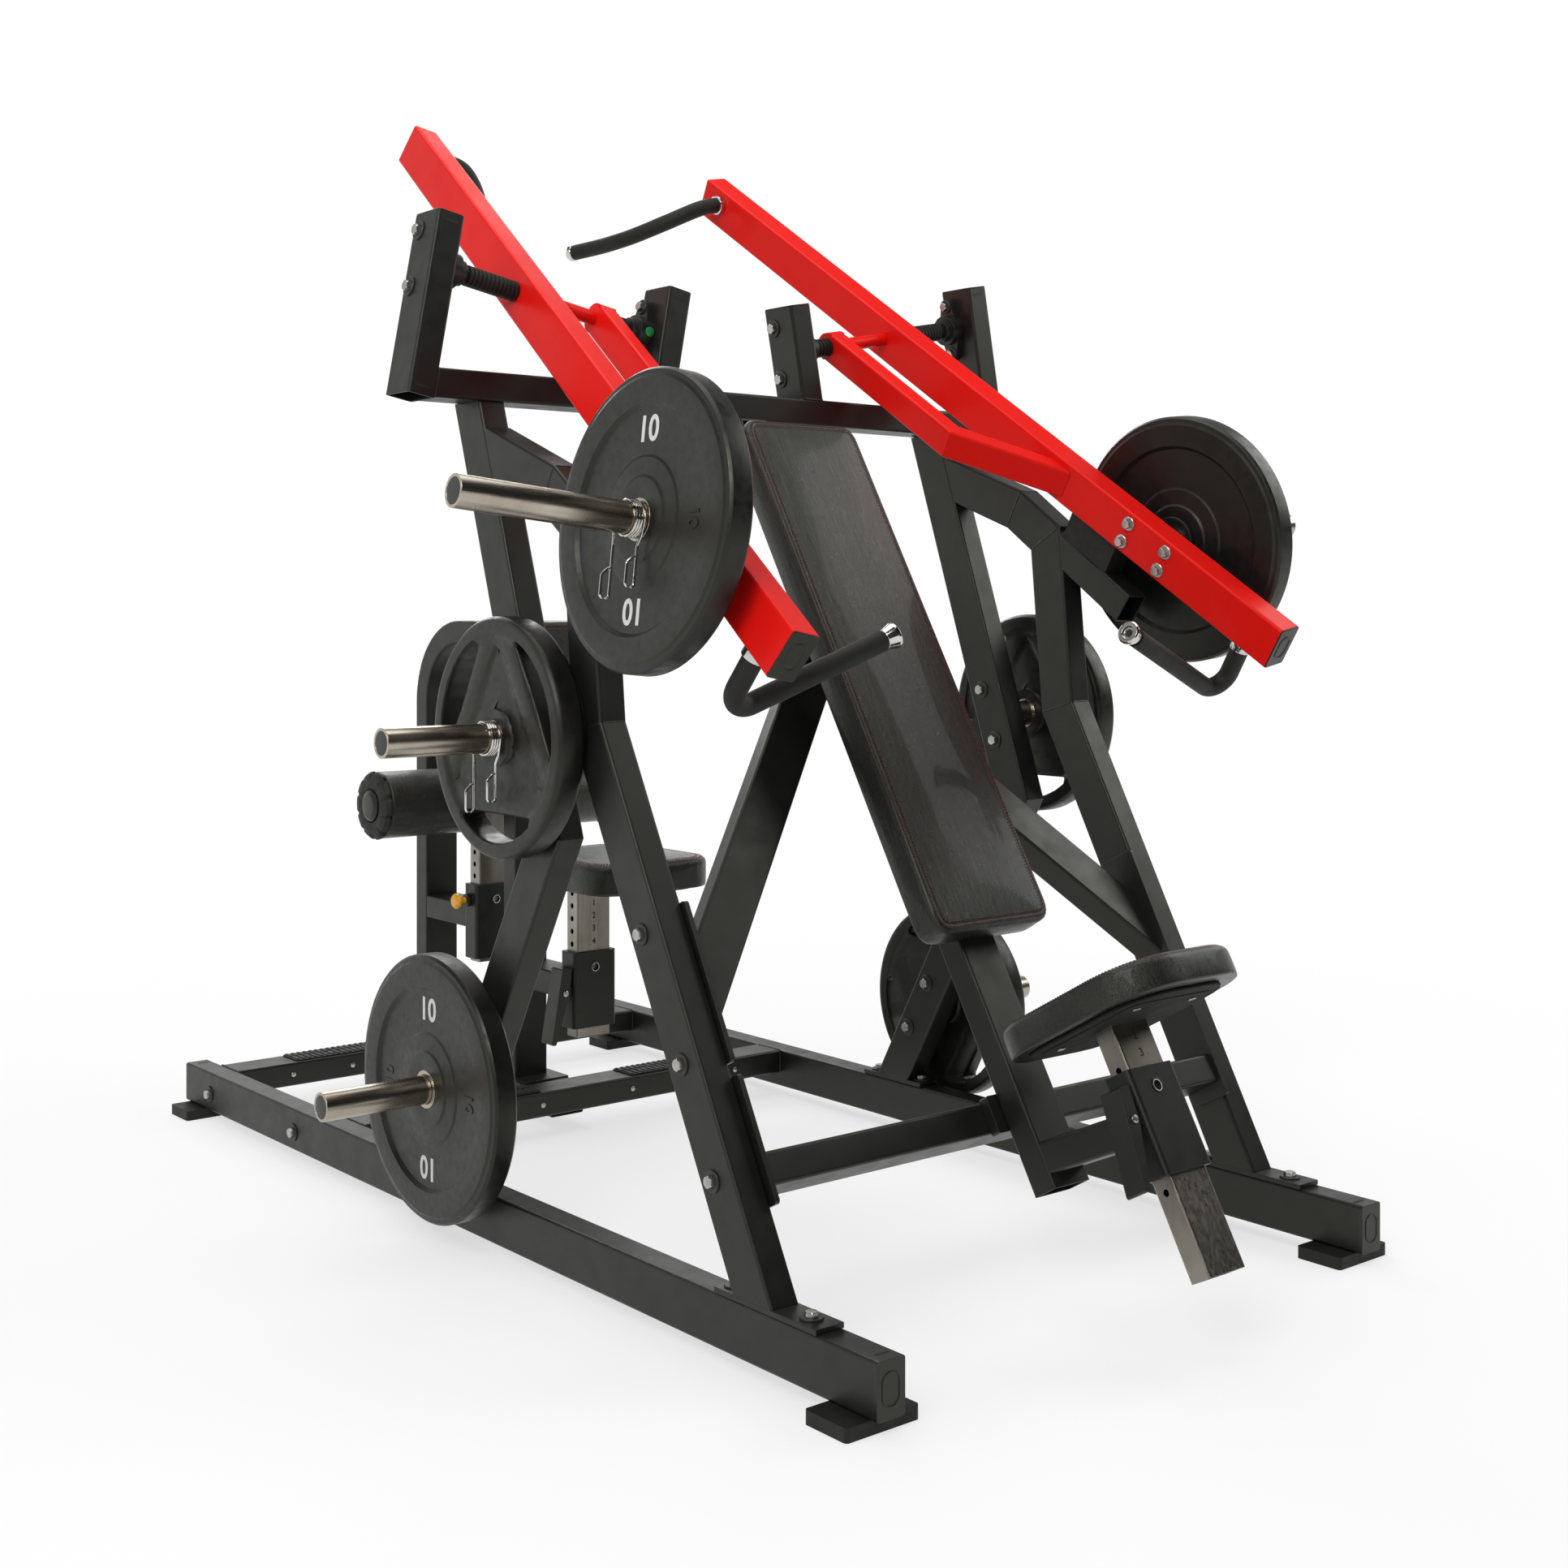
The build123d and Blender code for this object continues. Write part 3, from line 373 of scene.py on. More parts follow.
def slab(outline: Array, height: float, edge: float, axes: Axes) -> Shell:
    """A flat piece of any star-shaped outline with bevelled edges.

    Args:
        outline: (n, 2) points round the middle.
        height: thickness along z.
        edge: the bevel's size.
        axes: where it lies.

    Returns:
        The closed shell.
    """
    far = np.linalg.norm(outline, axis=1, keepdims=True)
    inner = outline * (1 - edge / far)
    rings = [(inner * 0, 0), (inner, 0), (outline, edge), (outline, height - edge),
             (inner, height), (inner * 0, height)]
    return Shell.grid(axes.put(layered(rings)), wrap_cols=True)


def oval_rim(wide: float, deep: float, corner: float, height: float, wire: float) -> Shell:
    """A raised line round an oval at a height, as on a plug's face."""
    line = layered([(rectangle(wide, deep, corner, 8), height)])[0]
    return swept(line, circle(wire, 8), Z, closed=True)


def band(inner: float, outer: float, low: float, high: float) -> list[tuple[float, float]]:
    """A ring's rectangular profile, as pairs of (radius, height)."""
    return [(inner, low), (outer, low), (outer, high), (inner, high)]


# ---- finishes ---------------------------------------------------------------
class Nodes:
    """A node tree that is being wired."""

    def __init__(self, tree: bpy.types.NodeTree) -> None:
        """Takes up a tree.

        Args:
            tree: the tree.
        """
        self.tree = tree

    def node(self, kind: str, **settings: object) -> bpy.types.Node:
        """Adds a node.

        Args:
            kind: the node's type name without ShaderNode.
            settings: properties by name, and input values by `in_` and the
                input's name with spaces as underscores.

        Returns:
            The node.
        """
        made = self.tree.nodes.new("ShaderNode" + kind)
        for key, value in settings.items():
            if key.startswith("in_"):
                made.inputs[key[3:].replace("_", " ")].default_value = value
            else:
                setattr(made, key, value)
        return made

    def join(self, start: bpy.types.NodeSocket, end: bpy.types.NodeSocket) -> None:
        """Links an output to an input."""
        self.tree.links.new(start, end)


class Wiring(Nodes):
    """A material whose nodes are being joined."""

    def __init__(self, name: str) -> None:
        """Starts a material with one principled shader.

        Args:
            name: the material's name.
        """
        self.material = bpy.data.materials.new(name)
        self.material.use_nodes = True
        super().__init__(self.material.node_tree)
        self.shader = self.tree.nodes["Principled BSDF"]

    def coords(self, stretch: Sequence[float] = (1, 1, 1),
               turn: Sequence[float] = (0, 0, 0)) -> bpy.types.NodeSocket:
        """Object coordinates, turned and then stretched by a factor on each axis.

        Args:
            stretch: the factors.
            turn: angles round x, y and z.

        Returns:
            The vector output.
        """
        source = self.node("TexCoord").outputs["Object"]
        turned_by = self.node("Mapping", in_Rotation=turn)
        scaled = self.node("Mapping", in_Scale=stretch)
        self.join(source, turned_by.inputs["Vector"])
        self.join(turned_by.outputs["Vector"], scaled.inputs["Vector"])
        return scaled.outputs["Vector"]

    def noise(self, at: bpy.types.NodeSocket, scale: float, detail: float = 3.0,
              rough: float = 0.5) -> bpy.types.NodeSocket:
        """The value of a noise pattern.

        Args:
            at: where it is read.
            scale: grains a metre.
            detail: finer layers.
            rough: weight of each finer layer.

        Returns:
            The value output.
        """
        made = self.node("TexNoise", in_Scale=scale, in_Detail=detail, in_Roughness=rough)
        self.join(at, made.inputs["Vector"])
        return made.outputs["Fac"]

    def ranged(self, value: bpy.types.NodeSocket, low: float, high: float,
               start: float = 0.3, stop: float = 0.7) -> bpy.types.NodeSocket:
        """A value stretched from start..stop to low..high.

        Args:
            value: the value.
            low: result at the start.
            high: result at the stop.
            start: first value that counts.
            stop: last one.

        Returns:
            The result output.
        """
        made = self.node("MapRange", in_From_Min=start, in_From_Max=stop,
                         in_To_Min=low, in_To_Max=high)
        self.join(value, made.inputs["Value"])
        return made.outputs["Result"]

    def mixed(self, factor: bpy.types.NodeSocket, one: Sequence[float],
              other: Sequence[float]) -> bpy.types.NodeSocket:
        """A colour between two, or between a socket's colour and a second.

        Args:
            factor: share of the second.
            one: first colour or socket.
            other: second one.

        Returns:
            The colour output.
        """
        made = self.node("Mix", data_type="RGBA")
        self.join(factor, made.inputs["Factor"])
        for key, colour in ((6, one), (7, other)):
            if isinstance(colour, bpy.types.NodeSocket):
                self.join(colour, made.inputs[key])
            else:
                made.inputs[key].default_value = (*colour, 1)
        return made.outputs[2]

    def bump(self, height: bpy.types.NodeSocket, depth: float,
             below: Optional[bpy.types.NodeSocket] = None) -> bpy.types.NodeSocket:
        """Surface relief of a depth in metres, over an earlier normal.

        Args:
            height: the relief.
            depth: its depth.
            below: the earlier normal.

        Returns:
            The normal output.
        """
        made = self.node("Bump", in_Strength=1.0, in_Distance=depth)
        self.join(height, made.inputs["Height"])
        if below is not None:
            self.join(below, made.inputs["Normal"])
        return made.outputs["Normal"]

    def edges(self, radius: float) -> tuple[bpy.types.NodeSocket, bpy.types.NodeSocket]:
        """How near a sharp edge a point is, and the normal rounded there.

        Args:
            radius: reach of the rounding in metres.

        Returns:
            The nearness from 0 to 1 and the rounded normal.
        """
        soft = self.node("Bevel", samples=4, in_Radius=radius)
        flat = self.node("NewGeometry")
        dot = self.node("VectorMath", operation="DOT_PRODUCT")
        self.join(soft.outputs["Normal"], dot.inputs[0])
        self.join(flat.outputs["Normal"], dot.inputs[1])
        return self.ranged(dot.outputs["Value"], 1.0, 0.0, 0.75, 0.995), soft.outputs["Normal"]


@dataclass(frozen=True)
class Finish:
    """A surface finish: its colours, gloss and relief.

    Attributes:
        name: the material's name.
        slot: the record's slot that it stands for; not used.
        base: main colour.
        second: the colour that it drifts to.
        rough: lowest and highest roughness.
        metal: whether it is bare metal.
        coat: strength of a clear coat.
        patch: scale of the colour drift, in patches a metre.
        grain: scale of the relief, in grains a metre.
        depth: depth of the relief in metres.
        stretch: factors on the grain along each axis.
        turn: angles that line the grain up with the piece.
        edge_wear_and_highlight: how far sharp edges drift to a lighter colour, partly wear and
            partly a painted highlight where rounded edges catch the light.
        edge: reach of the edge rounding in metres, 0 for none.
        sheen: soft fibre or skin sheen.
        gloss: strength of the surface's own reflection.
    """

    name: str
    slot: str
    base: tuple
    second: tuple
    rough: tuple = (0.4, 0.55)
    metal: bool = False
    coat: float = 0.0
    patch: float = 6.0
    grain: float = 900.0
    depth: float = 0.0001
    stretch: tuple = (1, 1, 1)
    turn: tuple = (0, 0, 0)
    edge_wear_and_highlight: float = 0.0
    edge: float = 0.0
    sheen: float = 0.0
    gloss: float = 0.5

    def relief(self, w: Wiring, below: Optional[bpy.types.NodeSocket]) -> bpy.types.NodeSocket:
        """The finish's own small relief: a fine even noise."""
        fine = w.noise(w.coords(self.stretch, self.turn), self.grain, 2.0)
        return w.bump(fine, self.depth, below)

    def make(self) -> bpy.types.Material:
        """Wires the material.

        Returns:
            The material.
        """
        w = Wiring(self.name)
        at = w.coords(self.stretch, self.turn)
        drift = w.ranged(w.noise(w.coords(), self.patch, 5.0, 0.6), 0.0, 1.0)
        colour = w.mixed(drift, self.base, self.second)
        normal = None
        if self.edge:
            near, normal = w.edges(self.edge)
            # Sharp edges drift to a lighter colour: partly wear, partly a painted highlight for the
            # light that rounded edges catch.
            if self.edge_wear_and_highlight:
                wear_and_highlight_breakup = w.noise(w.coords(), 45.0, 4.0, 0.7)
                mask = w.node("Math", operation="MULTIPLY", use_clamp=True)
                w.join(near, mask.inputs[0])
                w.join(w.ranged(wear_and_highlight_breakup, 0.0, self.edge_wear_and_highlight, 0.35, 0.7), mask.inputs[1])
                wear_and_highlight_colour = tuple(min(1.0, c * 2.2 + 0.02) for c in self.second)
                colour = w.mixed(mask.outputs[0], colour, wear_and_highlight_colour)
        w.join(colour, w.shader.inputs["Base Color"])
        dull = w.ranged(w.noise(at, self.patch * 4, 4.0, 0.6), *self.rough)
        w.join(dull, w.shader.inputs["Roughness"])
        w.join(self.relief(w, normal), w.shader.inputs["Normal"])
        w.shader.inputs["Metallic"].default_value = 1.0 if self.metal else 0.0
        w.shader.inputs["Specular IOR Level"].default_value = self.gloss
        if not self.metal:
            w.shader.inputs["Specular Tint"].default_value = WARM
        w.shader.inputs["Coat Weight"].default_value = self.coat
        w.shader.inputs["Coat Roughness"].default_value = 0.06
        w.shader.inputs["Sheen Weight"].default_value = self.sheen
        w.shader.inputs["Sheen Roughness"].default_value = 0.45
        return w.material


@dataclass(frozen=True)
class Vinyl(Finish):
    """Upholstery vinyl: pressed pebble grain under long shallow creases."""

    crease: float = 60.0
    crease_stretch: tuple = (1.0, 1.0, 0.16)

    def relief(self, w: Wiring, below: Optional[bpy.types.NodeSocket]) -> bpy.types.NodeSocket:
        """Pebbles from cell distances, and creases from noise drawn out along the pad.

        Args:
            w: the material.
            below: the earlier normal.

        Returns:
            The normal output.
        """
        cells = w.node("TexVoronoi", feature="DISTANCE_TO_EDGE", in_Scale=self.grain)
        w.join(w.coords(), cells.inputs["Vector"])
        walls = w.ranged(cells.outputs["Distance"], 0.0, 1.0, 0.0, 0.25)
        pebble = w.bump(walls, self.depth, below)
        drawn = w.noise(w.coords(self.crease_stretch, self.turn), self.crease, 6.0, 0.62)
        ridge = w.ranged(drawn, 0.0, 1.0, 0.42, 0.6)
        return w.bump(ridge, self.depth * 2.2, pebble)


@dataclass(frozen=True)
class Brushed(Finish):
    """Bare metal whose fine lines run round or along the piece."""

    def relief(self, w: Wiring, below: Optional[bpy.types.NodeSocket]) -> bpy.types.NodeSocket:
        """Lines from noise stretched hard along one axis, with a few deeper ones.

        Args:
            w: the material.
            below: the earlier normal.

        Returns:
            The normal output.
        """
        lines = w.noise(w.coords(self.stretch, self.turn), self.grain, 2.0)
        fine = w.bump(lines, self.depth, below)
        rare = w.ranged(w.noise(w.coords(self.stretch, self.turn), self.grain * 0.22, 1.0),
                        0.0, 1.0, 0.62, 0.72)
        return w.bump(rare, self.depth, fine)


class Stock(Enum):
    """Every finish on the bench."""

    POWDER = Finish("black_powder_coat", "black_frame", (0.0052, 0.0056, 0.0058),
                    (0.0085, 0.009, 0.0092), (0.36, 0.48), grain=1500, depth=0.00008,
                    edge_wear_and_highlight=0.45, edge=0.0022, gloss=0.42)
    WELD = Finish("painted_weld", "black_frame", (0.006, 0.0064, 0.0066),
                  (0.010, 0.0105, 0.0108), (0.34, 0.46), grain=420, depth=0.0003, gloss=0.42)
    RED = Finish("gloss_red_paint", "red_arm", (0.74, 0.008, 0.005), (0.66, 0.006, 0.004),
                 (0.34, 0.44), coat=0.05, patch=3.0, grain=420, depth=0.00002, edge=0.0022,
                 gloss=0.14)
    RUBBER = Finish("matt_rubber", "rubber", (0.006, 0.006, 0.0062), (0.012, 0.012, 0.0122),
                    (0.5, 0.7), grain=500, depth=0.00012, edge_wear_and_highlight=0.6, edge=0.0015, patch=14,
                    gloss=0.35)
    PLATE = Finish("plate_rubber", "plate", (0.0042, 0.0043, 0.0044), (0.0085, 0.0086, 0.0086),
                   (0.3, 0.48), grain=700, depth=0.00007, patch=18, gloss=0.4)
    GRIP = Finish("foam_grip", "foam", (0.0052, 0.0052, 0.0054), (0.0095, 0.0095, 0.0096),
                  (0.55, 0.72), grain=1100, depth=0.0003, sheen=0.06, gloss=0.35)
    PLASTIC = Finish("satin_plastic", "plastic", (0.0055, 0.0055, 0.0058), (0.009, 0.009, 0.0094),
                     (0.3, 0.45), grain=1300, depth=0.00005, edge=0.001, gloss=0.45)
    VINYL = Vinyl("grained_vinyl", "vinyl", (0.0048, 0.0052, 0.005), (0.0085, 0.0092, 0.0088),
                  (0.26, 0.38), grain=620, depth=0.00015, patch=22, coat=0.1,
                  turn=(SPINE_LEAN, 0, 0), gloss=0.45)
    BACKING = Finish("black_backing", "vinyl", (0.008, 0.008, 0.009), (0.013, 0.013, 0.014),
                     (0.7, 0.85), grain=900, depth=0.0002, gloss=0.3)
    THREAD = Finish("red_thread", "vinyl", (0.19, 0.009, 0.008), (0.12, 0.006, 0.006),
                    (0.5, 0.65), grain=2500, depth=0.0001)
    STEEL = Brushed("brushed_stainless", "steel", (0.50, 0.455, 0.385), (0.36, 0.315, 0.25),
                    (0.2, 0.34), metal=True, patch=9, grain=160, depth=0.00004,
                    stretch=(0.04, 4.0, 4.0))
    TUBE_STEEL = Brushed("brushed_tube", "steel", (0.34, 0.315, 0.275), (0.22, 0.20, 0.165),
                         (0.26, 0.42), metal=True, patch=11, grain=260, depth=0.00004,
                         stretch=(5.0, 5.0, 0.05), edge=0.0015)
    CHROME = Finish("polished_chrome", "steel", (0.66, 0.65, 0.63), (0.55, 0.54, 0.51),
                    (0.08, 0.18), metal=True, grain=300, depth=0.00001)
    ZINC = Finish("zinc_bolt", "fastener", (0.50, 0.49, 0.46), (0.36, 0.35, 0.33),
                  (0.24, 0.4), metal=True, patch=60, grain=1500, depth=0.00004)
    WASHER = Finish("black_washer", "rubber", (0.012, 0.012, 0.012), (0.02, 0.02, 0.02),
                    (0.4, 0.55), grain=1500, depth=0.00004)
    CAST = Finish("cast_housing", "black_frame", (0.006, 0.006, 0.0064), (0.011, 0.011, 0.0115),
                  (0.35, 0.5), grain=520, depth=0.0002, edge=0.0015)
    YELLOW = Finish("yellow_knob", "yellow", (0.88, 0.42, 0.015), (0.8, 0.34, 0.01),
                    (0.2, 0.32), coat=0.3, grain=300, depth=0.00002)
    GREEN = Finish("green_plug", "plastic", (0.015, 0.24, 0.07), (0.01, 0.18, 0.05),
                   (0.3, 0.45), grain=900, depth=0.00003)
    # White print on the plates, and also painted light in the reading windows.
    WHITE = Finish("white_print", "plastic", (0.72, 0.72, 0.71), (0.62, 0.62, 0.61),
                   (0.45, 0.6), grain=900, depth=0.00003)
    INK = Finish("black_print", "plastic", (0.012, 0.012, 0.012), (0.02, 0.02, 0.02),
                 (0.5, 0.6), grain=900, depth=0.00002)
    # Painted shade: the colour of thin sheets that stand where slots and sockets are not cut.
    SOCKET = Finish("socket_shadow", "plastic", (0.004, 0.004, 0.004), (0.007, 0.007, 0.007),
                    (0.6, 0.7), grain=900, depth=0.00003)


_made: dict[Stock, bpy.types.Material] = {}


def material_of(stock: Stock) -> bpy.types.Material:
    """The stock's material, made the first time it is asked for.

    Args:
        stock: the finish.

    Returns:
        The material.
    """
    if stock not in _made:
        _made[stock] = stock.value.make()
    return _made[stock]


# ---- pieces -----------------------------------------------------------------
class Body(Enum):
    """What a piece moves with."""

    FRAME = "frame"
    LEFT_ARM = "left_arm"
    RIGHT_ARM = "right_arm"
    PRESS_SEAT = "press_seat"
    LAT_SEAT = "lat_seat"
    CARRIAGE = "roller_carriage"
    LEFT_ROLLER = "left_roller"
    RIGHT_ROLLER = "right_roller"
    PIN = "pop_pin"
    SEAT_LEVER = "press_seat_lever"
    LAT_LEVER = "lat_seat_lever"


def linked(name: str, data: bpy.types.ID) -> bpy.types.Object:
    """A new object in the scene.

    Args:
        name: its name.
        data: its mesh, curve, lamp or camera data.

    Returns:
        The object.
    """
    made = bpy.data.objects.new(name, data)
    bpy.context.scene.collection.objects.link(made)
    return made


def points_of(mesh: bpy.types.Mesh) -> Array:
    """The places of a mesh's vertices.

    Args:
        mesh: the mesh.

    Returns:
        (n, 3) points in its own unit.
    """
    flat = np.zeros(len(mesh.vertices) * 3)
    mesh.vertices.foreach_get("co", flat)
    return flat.reshape(-1, 3)


def settle(shell: Shell, name: str, smooth: float = 35.0) -> bpy.types.Object:
    """Turns a shell in millimetres into a clean mesh object in metres.

    Args:
        shell: the surface.
        name: the object's name.
        smooth: edges sharper than this many degrees stay sharp.

    Returns:
        The object, linked to the scene, at the origin.
    """
    mesh = bpy.data.meshes.new(name)
    mesh.from_pydata(metres(shell.points).tolist(), [], shell.faces.tolist())
    work = bmesh.new()
    work.from_mesh(mesh)
    bmesh.ops.remove_doubles(work, verts=work.verts, dist=2e-5)
    bmesh.ops.recalc_face_normals(work, faces=work.faces)
    work.to_mesh(mesh)
    work.free()
    mesh.polygons.foreach_set("use_smooth", np.ones(len(mesh.polygons), dtype=bool))
    mesh.set_sharp_from_angle(angle=math.radians(smooth))
    return linked(name, mesh)


def dress(shell: Shell, name: str, stock: Stock, body: Body, replaces: Sequence[str] = (),
          smooth: float = 35.0) -> bpy.types.Object:
    """Makes a shell a finished piece that rides on a body.

    Args:
        shell: the surface in millimetres.
        name: the piece's name.
        stock: its finish.
        body: what it moves with.
        replaces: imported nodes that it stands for.
        smooth: the angle above which edges stay sharp.

    Returns:
        The piece.
    """
    made = settle(shell, name, smooth)
    return attach(made, stock, body, replaces)


def attach(made: bpy.types.Object, stock: Stock, body: Body,
           replaces: Sequence[str] = ()) -> bpy.types.Object:
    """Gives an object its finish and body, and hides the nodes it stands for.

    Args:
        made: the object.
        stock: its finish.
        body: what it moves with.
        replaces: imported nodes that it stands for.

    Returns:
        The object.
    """
    made.data.materials.clear()
    made.data.materials.append(material_of(stock))
    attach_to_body(made, body.value)
    if replaces:
        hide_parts(*replaces)
    LOG.info("%s on %s, %d faces", made.name, body.value, len(made.data.polygons))
    return made


def figures(text: str, size: float, relief: float, axes: Axes) -> Shell:
    """Plain figures as a thin solid.

    Args:
        text: the figures.
        size: their height in millimetres.
        relief: how far they stand up from the face.
        axes: middle of the text, reading direction x, outward z.

    Returns:
        The solid's shell, in triangles whose last corner is doubled.
    """
    curve = bpy.data.curves.new("figures", "FONT")
    curve.body, curve.size, curve.extrude = text, size * 1.35, relief
    curve.align_x, curve.align_y, curve.resolution_u = "CENTER", "CENTER", 4
    curve.offset = size * 0.028
    holder = linked("figures", curve)
    mesh = bpy.data.meshes.new_from_object(
        holder.evaluated_get(bpy.context.evaluated_depsgraph_get()))
    bpy.data.objects.remove(holder)
    mesh.calc_loop_triangles()
    points = points_of(mesh)
    corners = np.zeros(len(mesh.loop_triangles) * 3, dtype=int)
    mesh.loop_triangles.foreach_get("vertices", corners)
    bpy.data.meshes.remove(mesh)
    corners = corners.reshape(-1, 3)
    loose = points[np.column_stack((corners, corners[:, 2])).ravel()]
    return Shell(axes.put(loose), np.arange(len(loose)).reshape(-1, 4))


class Side(Enum):
    """Left is built; right is its mirror image."""

    LEFT = "left"
    RIGHT = "right"

    def of(self, shell: Shell) -> Shell:
        """The shell on this side."""
        return shell if self is Side.LEFT else shell.mirrored()

    @property
    def arm(self) -> Body:
        """The arm body on this side."""
        return Body.LEFT_ARM if self is Side.LEFT else Body.RIGHT_ARM


# ---- fasteners and welds ----------------------------------------------------
@dataclass(frozen=True)
class HexBolt:
    """A hexagon head on a washer, with a chamfered crown.

    Attributes:
        head: radius over the corners.
        height: head height.
        washer: washer radius.
    """

    head: float = 10.2
    height: float = 8.0
    washer: float = 17.0

    def heads(self, places: Sequence[Axes]) -> Shell:
        """Heads with a shallow turned dome, standing on their washers.

        Args:
            places: the seats, z outwards.

        Returns:
            The heads.
        """
        hexagon = circle(self.head, 6)
        steps = np.linspace(0, 1, 4, endpoint=False)[None, :, None]
        outline = (hexagon[:, None] * (1 - steps)
                   + np.roll(hexagon, -1, 0)[:, None] * steps).reshape(-1, 2)
        round_top = unit(outline) * self.head * 0.84
        layers = [(outline * 0, 2.6), (outline, 2.6), (outline, self.height + 0.4),
                  (round_top, self.height + 2.0), (round_top * 0.6, self.height + 1.8),
                  (round_top * 0, self.height + 1.8)]
        return Shell.grid(layered(layers), wrap_cols=True).copied(places)

    def washers(self, places: Sequence[Axes]) -> Shell:
        """Flat washers with an eased rim.

        Args:
            places: the seats, z outwards.

        Returns:
            The washers.
        """
        rim = [(0, 0), (self.washer, 0), (self.washer, 2.0), (self.washer - 1, 2.9), (0, 2.9)]
        return turned(rim, FLAT, 32).copied(places)


def weld_round(corners: Sequence, up: Array, radius: float = 2.0, pitch: float = 5.0) -> Shell:
    """A weld bead along a closed run of straight seams.

    The bead's size rises and falls once each pitch, as laid drops do.

    Args:
        corners: the seam's corners.
        up: a direction no seam runs along.
        radius: the bead's mean radius.
        pitch: distance between drops.

    Returns:
        The bead.
    """
    path = rounded_path(corners, 7.0, 4, closed=True)
    looped, gone = closed_ring(path)
    at = np.linspace(0, gone[-1], max(24, int(gone[-1] / pitch * 3)), endpoint=False)
    even = walked(looped, gone, at)
    swell = 1 + 0.16 * np.sin(at / pitch * math.tau) + 0.06 * np.sin(at * 0.31)
    return swept(even, circle(radius, 8), up, closed=True, swell=swell)


@dataclass
class FrameWork:
    """The welded frame: finishes for its nodes, welds, bolts, treads and tube plugs.

    Attributes:
        steel: nodes of bright tube.
        rubber: nodes of rubber.
        plastic: nodes of plastic.
        rail_half: half a rail's length.
        rail_top: a rail's top face.
        knee: (y, z) of the front leg's lower bend and its neighbours.
        brace: the front leg's upper bends and their neighbours.
        rear: the rear leg's bend between its ends.
        beam: heights of the top beam's underside and top.
        bars: y of the two cross bars with treads.
    """

    steel: tuple = ("lat_seat_tube", "seat_tube", "roller_tube")
    rubber: tuple = ("rubber_feet", "stop_blocks")
    plastic: tuple = ("rail_end_caps", "seat_lever", "lat_lever")
    rail_half: float = 1107.0
    rail_top: float = 100.0
    knee: tuple = ((-402.0, 1209.0), (-432.0, 889.0), (-850.0, 100.0))
    brace: tuple = ((-120.0, 1342.6), (-320.0, 1268.0), (-402.0, 1209.0), (-432.0, 889.0))
    rear: tuple = ((-69.0, 1424.0), (-311.0, 712.0), (32.0, 100.0))
    beam: tuple = (1425.0, 1475.0)
    bars: tuple = (1000.0, 433.5)

    def paint(self, nodes: dict) -> None:
        """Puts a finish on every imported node.

        Args:
            nodes: the frame's node objects by name.
        """
        chosen = {n: Stock.TUBE_STEEL for n in self.steel}
        chosen |= {n: Stock.RUBBER for n in self.rubber + ("pivot_shaft_left", "pivot_shaft_right")}
        chosen |= {n: Stock.PLASTIC for n in self.plastic}
        chosen |= {n: Stock.RED for n in ("arm_left", "arm_right", "arm_brace_left",
                                          "arm_brace_right")}
        chosen["bearings"] = Stock.CAST
        for name, node in nodes.items():
            stock = chosen.get(name, Stock.POWDER)
            node.data.materials.clear()
            node.data.materials.append(material_of(stock))

    def mitre(self, line: Sequence, middle: float = -LEG_X) -> Shell:
        """The bead round the mitred corner of a bent leg.

        The seam is the rectangle where the leg's tube meets the plane that halves
        the bend: the half width along it grows by one over the cosine of the half
        bend.

        Args:
            line: the corner's neighbour, the corner and its other neighbour.
            middle: the leg's middle plane.

        Returns:
            The bead.
        """
        before, corner, after = (vec(0, *p) for p in line)
        one, two = unit(corner - before), unit(after - corner)
        across = unit(one - two)
        reach = (TUBE_W / 2 - 1.0) / math.sqrt((1 + np.dot(one, two)) / 2)
        at = corner + X * middle
        half = TUBE_D / 2 - 1.0
        corners = [at + across * s * reach + X * half * t
                   for s, t in SQUARE]
        return weld_round(corners, unit(one + two))

    def bar_end(self, y: float, z: float, high: float = TUBE_D, wide: float = TUBE_W) -> Shell:
        """The bead where a cross bar meets the inside of a rail.

        Args:
            y: the bar's middle.
            z: its height.
            high: its depth.
            wide: its width.

        Returns:
            The bead.
        """
        corners = [vec(-RAIL_IN, y + s * wide / 2, z + t * high / 2)
                   for s, t in SQUARE]
        return weld_round(corners, X, 1.9)

    def welds(self) -> None:
        """Beads at the legs' bends, the cross bars' ends and the posts' feet."""
        beads = [self.mitre(self.knee), self.mitre(self.brace[:3]), self.mitre(self.brace[1:]),
                 self.mitre(self.rear)] + [self.bar_end(y, 75) for y in self.bars]
        outer, inner = on_pivot(-150, 0), on_pivot(303, 0)
        shift = (vec(*self.beam) - outer[2]) * math.tan(TILT)
        end = [vec(outer[0] + shift[i], BEAM_Y + way * 39, self.beam[i])
               for i, way in ((0, 1), (0, -1), (1, -1), (1, 1))]
        beads.append(weld_round(end, Y + Z * 0.01, 1.8))
        foot = inner[0] + (self.beam[1] - inner[2]) * math.tan(TILT)
        beads.append(weld_round([vec(foot + s * 25.6, BEAM_Y + t * 39.6, self.beam[1])
                                 for s, t in SQUARE], Z, 2.0))
        dress(Shell.joined(beads).with_twin(), "frame_welds", Stock.WELD, Body.FRAME)

